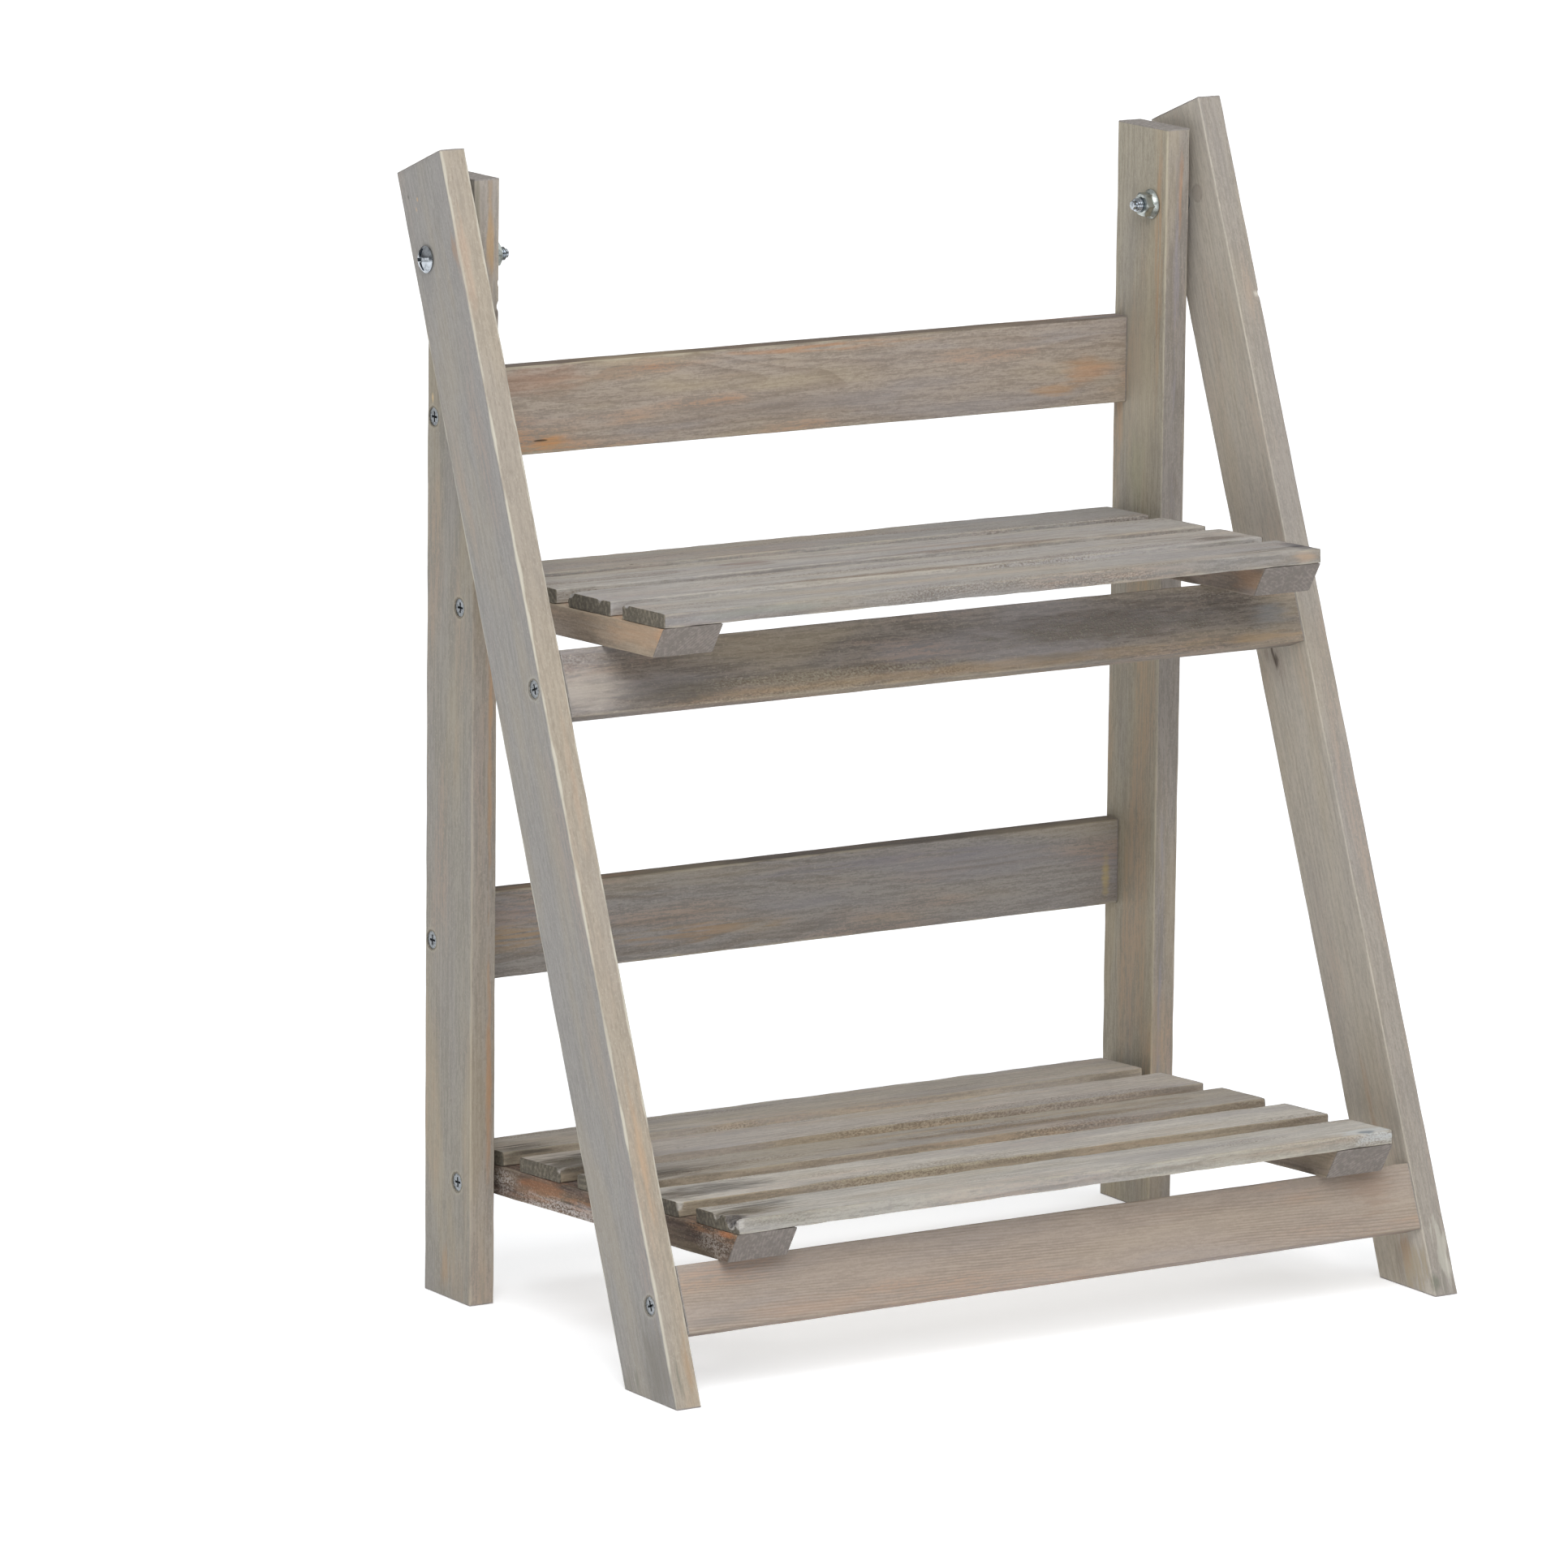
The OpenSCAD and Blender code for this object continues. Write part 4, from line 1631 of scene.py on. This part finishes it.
MARKS: dict[str, tuple[Mark, ...]] = {
    "front_leg_left": (
        Mark((-205, 101.2, 486.6), (1.8, 0.8, 1), "#cdab80"),
        Mark((-205, 100.6, 491), (1.2, 0.8, 1), "#cdab80"),
        Mark((-205, 108.2, 491.1), (1.5, 1, 1), "#5b5953"),
        Mark((-205, 68.8, 473.6), (9, 3, 2), "#ad8b6d", 0.5),
        Mark((-202.3, 63, 467.5), (30, 8, 4), "#c2a089", 0.3),
        Mark((-198.8, -79.4, 103.6), (40, 5, 3), "#bd9a78", 0.4),
        Mark((-198, -20, 250), (45, 6, 3), "#bfa188", 0.3),
        Mark((-196, -112, 16), (22, 4.5, 3), "#a98c6e", 0.5),
        Mark((-201.9, -113.9, 13), (14, 3.5, 3), "#63665a", 0.6, Touch.STREAKED),
        Mark((-205, -83, 5), (7, 9, 2), "#74766a", 0.45, Touch.STREAKED),
        Mark((-205, -104, 14), (34, 16, 2), "#79746b", 0.6),
    ),
    "front_leg_right": (
        Mark((192.5, 80.6, 471.1), (4.9, 4.9, 2), "#857d75", 0.5, soft=0.25, ragged=0.1),
        Mark((192.5, 80.6, 471.1), (3.7, 3.7, 2), "#aca398", 0.6, soft=0.25, ragged=0.1),
        Mark((192.5, 11.4, 267.8), (16, 9, 4), "#94857a", 0.4),
        Mark((192.5, 11.4, 266.8), (5.5, 2.2, 3), "#463c35", 0.85, ragged=1.2),
        Mark((192.5, 15.4, 272), (11, 1.2, 3), "#4d423a", 0.8, ragged=1.0),
        Mark((192.5, 19.6, 269.1), (8, 3, 2), "#7b6c62", 0.5),
        Mark((192.5, -75.6, 57.2), (60, 3.4, 2), "#ab8a6c", 0.4),
        Mark((192.5, -99, 8), (20, 20, 2), "#736a5f", 0.5),
        Mark((192.5, -104, 11), (15, 9, 2), "#ab9f88", 0.65, soft=0.6, ragged=1.6),
        Mark((192.5, -97, 18), (13, 5, 2), "#a98b70", 0.5, ragged=1.2),
        Mark((192.5, -88, 30), (8, 4, 2), "#b3a690", 0.4, ragged=1.6),
        Mark((203.8, 47.8, 428.7), (2, 1.2, 2), "#dcd6c9", 0.7),
        Mark((194.7, -117.6, 6.2), (6, 3, 3), "#5b6453", 0.6),
        Mark((199, -116, 8), (24, 9, 2.5), "#837f76", 0.6),
        Mark((200, -113, 18), (16, 6, 4), "#c3c0b4", 0.6, soft=0.5, ragged=1.6),
        Mark((203, -115, 12), (7, 3, 2), "#cbc8bd", 0.5),
    ),
    "rear_post_left": (
        Mark((-180, 80.5, 476), (32, 5, 2.4), "#b7925f", 0.6),
        # A darker olive strip down the post's front face along its outer arris, beside the leg.
        Mark((-186.5, 80.5, 480), (50, 3, 2.4), "#77725f", 0.5),
        Mark((-175.6, 80.5, 447), (22, 2, 1.6), "#6d5f54", 0.5),
        Mark((-175.6, 80.5, 442), (4, 2, 2), "#33262a", 0.9, soft=0.4),
        Mark((-178.9, 80.5, 254.5), (80, 4, 1.5), "#b88e62", 0.6),
        Mark((-178.8, 80.5, 101.9), (70, 4, 2), "#ba8b60", 0.65),
        Mark((-180.9, 80.5, 330.2), (50, 4, 1.5), "#bc946b", 0.4),
        Mark((-188, 115.6, 401), (3, 1.2, 1), "#d9be93", 0.8),
        Mark((-188, 102, 14), (14, 6, 2), "#b58f68", 0.35, Touch.STREAKED),
    ),
    "rear_post_right": (
        Mark((175.5, 86, 440), (90, 4, 2), "#b98c63", 0.4, Touch.STREAKED),
        Mark((175.5, 100, 385), (60, 22, 2), "#b7ad99", 0.45),
        Mark((175.5, 100.5, 342.4), (24, 8, 2), "#9fa083", 0.4),
        Mark((175.5, 114.7, 377.9), (40, 4, 2), "#c39a70", 0.4),
        Mark((183.4, 80.5, 470), (26, 3, 1.6), "#bf9069", 0.55),
        Mark((182, 80.5, 420), (120, 3, 2.4), "#97929b", 0.45, Touch.STREAKED),
        Mark((179, 80.5, 120), (110, 3, 2.4), "#8f8d95", 0.45, Touch.STREAKED),
    ),
    "back_rail_upper": (
        Mark((-143.3, 109.5, 405.7), (42, 9, 2), "#a87a5c", 0.35),
        Mark((-130.7, 109.5, 377.7), (12, 4, 2), "#c28c52", 0.6),
        Mark((-136.9, 109.5, 379), (4, 0.5, 2), "#3a332d", 0.9, soft=0.4),
        Mark((153.8, 109.5, 389.5), (18, 8, 2), "#bd8a5e", 0.45),
        Mark((136.2, 109.5, 381.5), (17, 4, 2), "#bd905e", 0.5),
        Mark((8.8, 109.5, 410), (70, 2.5, 2), "#c08d64", 0.5, Touch.STREAKED),
        Mark((-20, 109.5, 385), (80, 8, 2), "#857a72", 0.35),
    ),
    "back_rail_lower": (
        Mark((-145.9, 109.5, 157), (34, 9, 2), "#b8966c", 0.5, Touch.STREAKED),
        Mark((-52.5, 109.5, 150), (60, 5, 2), "#ae8c64", 0.45, Touch.STREAKED),
        Mark((168.6, 109.5, 152), (3, 13, 2), "#bda878", 0.7, ragged=0.5),
        Mark((60, 109.5, 172), (110, 5, 2), "#85818a", 0.4, Touch.STREAKED),
    ),
    "front_rail_upper": (
        Mark((-131.6, -8, 286.2), (48, 7, 2), "#696358", 0.5),
        # Dark crumbled patch under the upper shelf: partly the rail's mottled stain, partly painted shade of
        # the shelf above.
        Mark((85, -4, 296), (80, 10, 2), "#5a564f", 0.6, Touch.CRUMBLED),
        Mark((176, -5.5, 292), (14, 7, 2), "#8d9092", 0.5),
        Mark((20, -9.2, 282.8), (170, 4, 2), "#b59a74", 0.4, ragged=0.6),
        Mark((168, -9.2, 283.5), (26, 3, 2), "#ae9473", 0.6),
        Mark((60, -9, 284), (30, 3, 2), "#6b655c", 0.5),
        Mark((-183.9, -6.2, 290.6), (26, 12, 2), "#b5aca1", 0.6),
        Mark((-60, -7.6, 286.5), (90, 4, 2), "#888070", 0.8, Touch.CRUMBLED),
        Mark((90, -5, 293), (80, 7, 2), "#6f6a60", 0.7, Touch.CRUMBLED),
    ),
    "front_rail_lower": (
        Mark((-129.4, -106.9, 33.3), (50, 5, 2), "#bd9b80", 0.25),
        Mark((-179.5, -94.8, 64.4), (1.4, 0.8, 1), "#5d534b", 0.8),
        Mark((-175, -107.5, 33), (25, 3, 2), "#89847f", 0.5),
        Mark((90, -97, 58), (90, 3, 2), "#a3968c", 0.4, Touch.STREAKED),
        Mark((168, -100, 50), (18, 16, 2), "#937a68", 0.45),
    ),
    "upper_bearer_left": (
        Mark((-171.5, -30, 318), (46, 6, 9), "#c39c7a", 0.35),
        Mark((-171.5, -50, 319), (9, 4, 7), "#c9956a", 0.4),
    ),
    "upper_bearer_right": (Mark((141.5, -38.6, 317), (16, 5, 8), "#bf9572", 0.35),),
    "lower_bearer_left": (
        Mark((-171.5, 46, 59), (26, 7, 4.6), "#97684a", 0.8, soft=0.6, ragged=0.5),
        Mark((-171.5, 46, 64.5), (22, 4, 2), "#6d4836", 0.6),
        Mark((-171.5, -104, 69.5), (8, 4, 1.6), "#b0704a", 0.8),
        Mark((-171.5, 30, 52), (60, 4, 6), "#b9b0ab", 0.8, Touch.CRUMBLED),
        Mark((-171.5, 20, 54), (40, 5, 6), "#c3bbb7", 0.5, Touch.STREAKED),
        Mark((-171.5, -94, 63), (18, 5, 7), "#b3aaa2", 0.7, Touch.CRUMBLED),
        Mark((-171.5, 80, 56), (14, 8, 6), "#b9b1ab", 0.8, Touch.CRUMBLED),
    ),
    "upper_slat_1": (
        Mark((-104.3, 84.8, 325), (1.8, 0.9, 2), "#3b3430", 0.9),
        Mark((-68.9, 99.8, 324.5), (1.6, 0.8, 2), "#3b3430", 0.85),
        Mark((-40, 84.5, 325), (90, 1.6, 2), "#7b6a5f", 0.5, Touch.STREAKED),
    ),
    "upper_slat_2": (
        Mark((-62.9, 58.8, 325.8), (17, 3.6, 2), "#786660", 0.6, soft=0.35),
        Mark((-62.9, 58.8, 325.8), (11, 2.1, 2), "#9a8b84", 0.6, soft=0.4),
        Mark((-95, 55, 325.9), (2, 1, 2), "#54483f", 0.8),
        Mark((60, 42, 326), (80, 5, 2), "#8a7d72", 0.8, Touch.CRUMBLED),
    ),
    "upper_slat_3": (
        Mark((-20, -2, 327.7), (120, 4, 3), "#8a7d72", 0.9, Touch.CRUMBLED),
        Mark((130, 14, 327), (36, 9, 2), "#6c6258", 0.5, Touch.STREAKED),
        Mark((154, 4, 327), (20, 8, 3), "#57504a", 0.8, Touch.CRUMBLED),
        Mark((-121.9, 1.6, 327.6), (14, 3, 2), "#c2beb8", 0.4, Touch.STREAKED),
        Mark((-150, 20, 327), (24, 6, 2), "#7a6e64", 0.4, Touch.STREAKED),
    ),
    "upper_slat_4": (
        Mark((169, -38, 329), (10, 16, 4), "#45434a", 0.85),
        Mark((150, -40, 329), (30, 5, 3), "#58544e", 0.6, Touch.STREAKED),
        Mark((163, -50.8, 326.5), (8, 4, 3), "#b39a82", 0.65),
        Mark((70, -48.5, 329), (60, 2.5, 2), "#a39d92", 0.9, Touch.CRUMBLED),
        Mark((-120, -50.5, 327), (50, 2, 3), "#93948a", 0.5),
    ),
    "lower_slat_1": (
        Mark((-161, 88, 67), (24, 15, 5), "#494643", 0.7, Touch.STREAKED),
        Mark((-168, 80, 66), (10, 10, 6), "#6a6658", 0.7, Touch.CRUMBLED),
        Mark((20, 84, 69), (150, 4, 2), "#b9a888", 0.4, Touch.STREAKED),
    ),
    "lower_slat_2": (
        Mark((-152, 42, 69), (40, 22, 8), "#4b4843", 0.95),
        Mark((-148, 40, 70), (34, 8, 4), "#9b9892", 0.6, Touch.STREAKED),
        Mark((-162, 44, 68), (16, 16, 8), "#6f6a5b", 0.8, Touch.CRUMBLED),
        Mark((-100.2, 42.8, 70), (2, 0.9, 2), "#3b3430", 0.85),
        Mark((-104, 42.4, 70), (1.4, 0.8, 2), "#3b3430", 0.85),
        Mark((30, 58, 70), (140, 4, 2), "#b9a888", 0.35, Touch.STREAKED),
    ),
    "lower_slat_3": (
        Mark((-138, -3, 71), (44, 20, 8), "#5a554f", 0.5),
        Mark((-140, -5, 72), (34, 12, 4), "#403d3b", 0.6, Touch.STREAKED),
        Mark((50, -3, 72.5), (120, 6.5, 3), "#91816c", 0.95, Touch.CRUMBLED),
        Mark((40, 9, 72), (130, 3, 2), "#b69a74", 0.4, Touch.STREAKED),
    ),
    "lower_slat_4": (
        Mark((-142, -46, 73), (42, 18, 8), "#5b5752", 0.5),
        Mark((-142, -46, 74), (38, 13, 4), "#474542", 0.55, Touch.STREAKED),
        Mark((-162, -50, 72), (16, 16, 8), "#5b574d", 0.85, Touch.CRUMBLED),
        Mark((-40, -64, 75), (110, 2.5, 3), "#a3987f", 0.9, Touch.CRUMBLED),
    ),
    "lower_slat_5": (
        Mark((-145, -90, 76), (32, 10, 4), "#494744", 0.65, Touch.STREAKED),
        Mark((-158, -99, 77), (28, 13, 8), "#6d6757", 0.95, Touch.CRUMBLED),
        Mark((-162, -99, 77), (16, 8, 6), "#57534a", 0.7),
        Mark((-169.1, -106, 77), (8, 6, 6), "#343236", 0.9, soft=0.5),
        Mark((-150, -113, 77), (24, 3, 6), "#8d8c80", 0.6, Touch.CRUMBLED),
        Mark((161, -110.5, 77.2), (16, 9, 6), "#c6cbcd", 0.6, soft=0.5, ragged=1.2),
        Mark((159, -111, 77.2), (5, 3.5, 3), "#6c7780", 0.8, soft=0.5),
        Mark((-60, -113, 76), (90, 2.5, 3), "#b8b2a4", 0.4),
    ),
}


# ---- studio ----------------------------------------------------------------------


@dataclass(frozen=True)
class Softbox:
    """A square area light that looks at the stand's middle.

    bearing is degrees round from the front, as the camera's azimuth, and height is
    degrees above the horizon.
    """

    name: str
    bearing: float
    height: float
    away: float
    size: float
    power: float

    def build(self, aim: Vector) -> None:
        """Hangs the light.

        Args:
            aim: The point that it looks at.
        """
        lamp = bpy.data.lights.new(self.name, "AREA")
        lamp.shape, lamp.size, lamp.energy = "SQUARE", self.size, self.power
        made = bpy.data.objects.new(self.name, lamp)
        bearing, height = math.radians(self.bearing), math.radians(self.height)
        flat = math.cos(height)
        away = Vector((math.sin(bearing) * flat, -math.cos(bearing) * flat, math.sin(height)))
        made.matrix_world = facing(aim + away * self.away, away)
        bpy.context.scene.collection.objects.link(made)


@dataclass(frozen=True)
class Studio:
    """The pale floor, the soft lights, the air round them and the camera."""

    aim: Vector = field(default_factory=lambda: Vector((0.0, 0.0, 0.22)))
    frame_pixels: int = 1932
    focal_pixels: float = 12245.08
    sensor: float = 36.0
    eye: Vector = field(default_factory=lambda: Vector((-2.3717, -3.5806, 1.0659)))
    azimuth: float = -32.6463
    elevation: float = 11.0136
    roll: float = 0.6155
    floor_radius: float = 24.0
    floor_colour: str = "#ecf1f7"
    floor_tooth: str = "#f1f1f1"
    floor_grain: float = 900.0
    floor_drop: float = 0.05 * MM
    floor_glow: tuple[float, float] = (0.50, 0.78)
    floor_clear: tuple[float, float] = (0.5, 3.5)
    horizon: float = 0.06
    sky: float = 0.44
    clearing: tuple[float, float] = (0.12, 0.42)
    lights: tuple[Softbox, ...] = (
        Softbox("key_softbox", -30, 42, 3.2, 1.8, 56),
        Softbox("top_softbox", 20, 82, 3.0, 2.6, 29),
    )

    def build(self) -> None:
        """Makes the floor, the light and the camera."""
        self._lay_floor()
        self._light()
        self._set_camera()

    def _lay_floor(self) -> None:
        """Lays a round floor whose paper glows, so that it stays pale far from the lights."""
        disc = bmesh.new()
        bmesh.ops.create_circle(disc, cap_ends=True, radius=self.floor_radius, segments=96)
        bmesh.ops.translate(disc, vec=(0.0, 0.0, -self.floor_drop), verts=disc.verts[:])
        floor = show("studio_floor", disc)
        graph = Graph("studio_floor_paper")
        here = graph.place()
        tooth = graph.clouds(here, (self.floor_grain,) * 3, 1)
        near, far = (grey(glow) for glow in self.floor_glow)
        clear = graph.measure("LENGTH", here).rise(*self.floor_clear)
        floor.data.materials.append(
            graph.surface(
                Base_Color=graph.mix(tooth, linear(self.floor_tooth), linear(self.floor_colour)),
                Roughness=0.9,
                Specular_IOR_Level=0.1,
                Emission_Color=graph.mix(clear, near, far),
                Emission_Strength=1.0,
            )
        )

    def _light(self) -> None:
        """Lights the stand with softboxes and a sky, whose dark horizon shows in the metal."""
        for light in self.lights:
            light.build(self.aim)
        sky = bpy.data.worlds.new("studio_air")
        sky.use_nodes = True
        air = Graph("studio_air", sky.node_tree)
        ways = air.node("ShaderNodeTexCoord").outputs["Generated"]
        upward = air.parts(ways)[2].rise(*self.clearing)
        backdrop = air.mix(upward, grey(self.horizon), grey(self.sky))
        glow = air.node("ShaderNodeBackground", {}, {0: backdrop}).outputs[0]
        air.node("ShaderNodeOutputWorld", {}, {0: glow})
        bpy.context.scene.world = sky
        bpy.context.scene.view_settings.view_transform = "Standard"

    def _set_camera(self) -> None:
        """Stands the camera where the photograph was taken from."""
        lens = bpy.data.cameras.new("photo_camera")
        lens.sensor_width = self.sensor
        lens.lens = self.focal_pixels / self.frame_pixels * self.sensor
        lens.clip_start, lens.clip_end = 0.05, 100.0
        az, el, roll = (math.radians(a) for a in (self.azimuth, self.elevation, self.roll))
        back = Vector((math.sin(az) * math.cos(el), -math.cos(az) * math.cos(el), math.sin(el)))
        right = (-back).cross(Z_AXIS).normalized()
        upward = back.cross(right)
        x_axis = right * math.cos(roll) + upward * math.sin(roll)
        y_axis = upward * math.cos(roll) - right * math.sin(roll)
        camera = bpy.data.objects.new("photo_camera", lens)
        turn = Matrix((x_axis, y_axis, back)).transposed().to_4x4()
        camera.matrix_world = Matrix.Translation(self.eye) @ turn
        bpy.context.scene.collection.objects.link(camera)
        bpy.context.scene.camera = camera


def main() -> None:
    """Builds the stand's sub-assemblies and the studio, in order."""
    logging.basicConfig(level=logging.INFO, format="%(name)s: %(message)s")
    parts: Iterable[Any] = (
        Studio(),
        RearFrame(),
        FrontFrame(),
        Shelf("upper", 311.5 * MM, math.radians(1.8), 142.869 * MM, 24.95 * MM, 4),
        Shelf("lower", 54.2 * MM, math.radians(2.9), 207.057 * MM, 22.45 * MM, 5),
        Fasteners(),
    )
    for part in parts:
        part.build()
        LOG.info("%s is built", type(part).__name__)


if __name__ == "__main__":
    main()
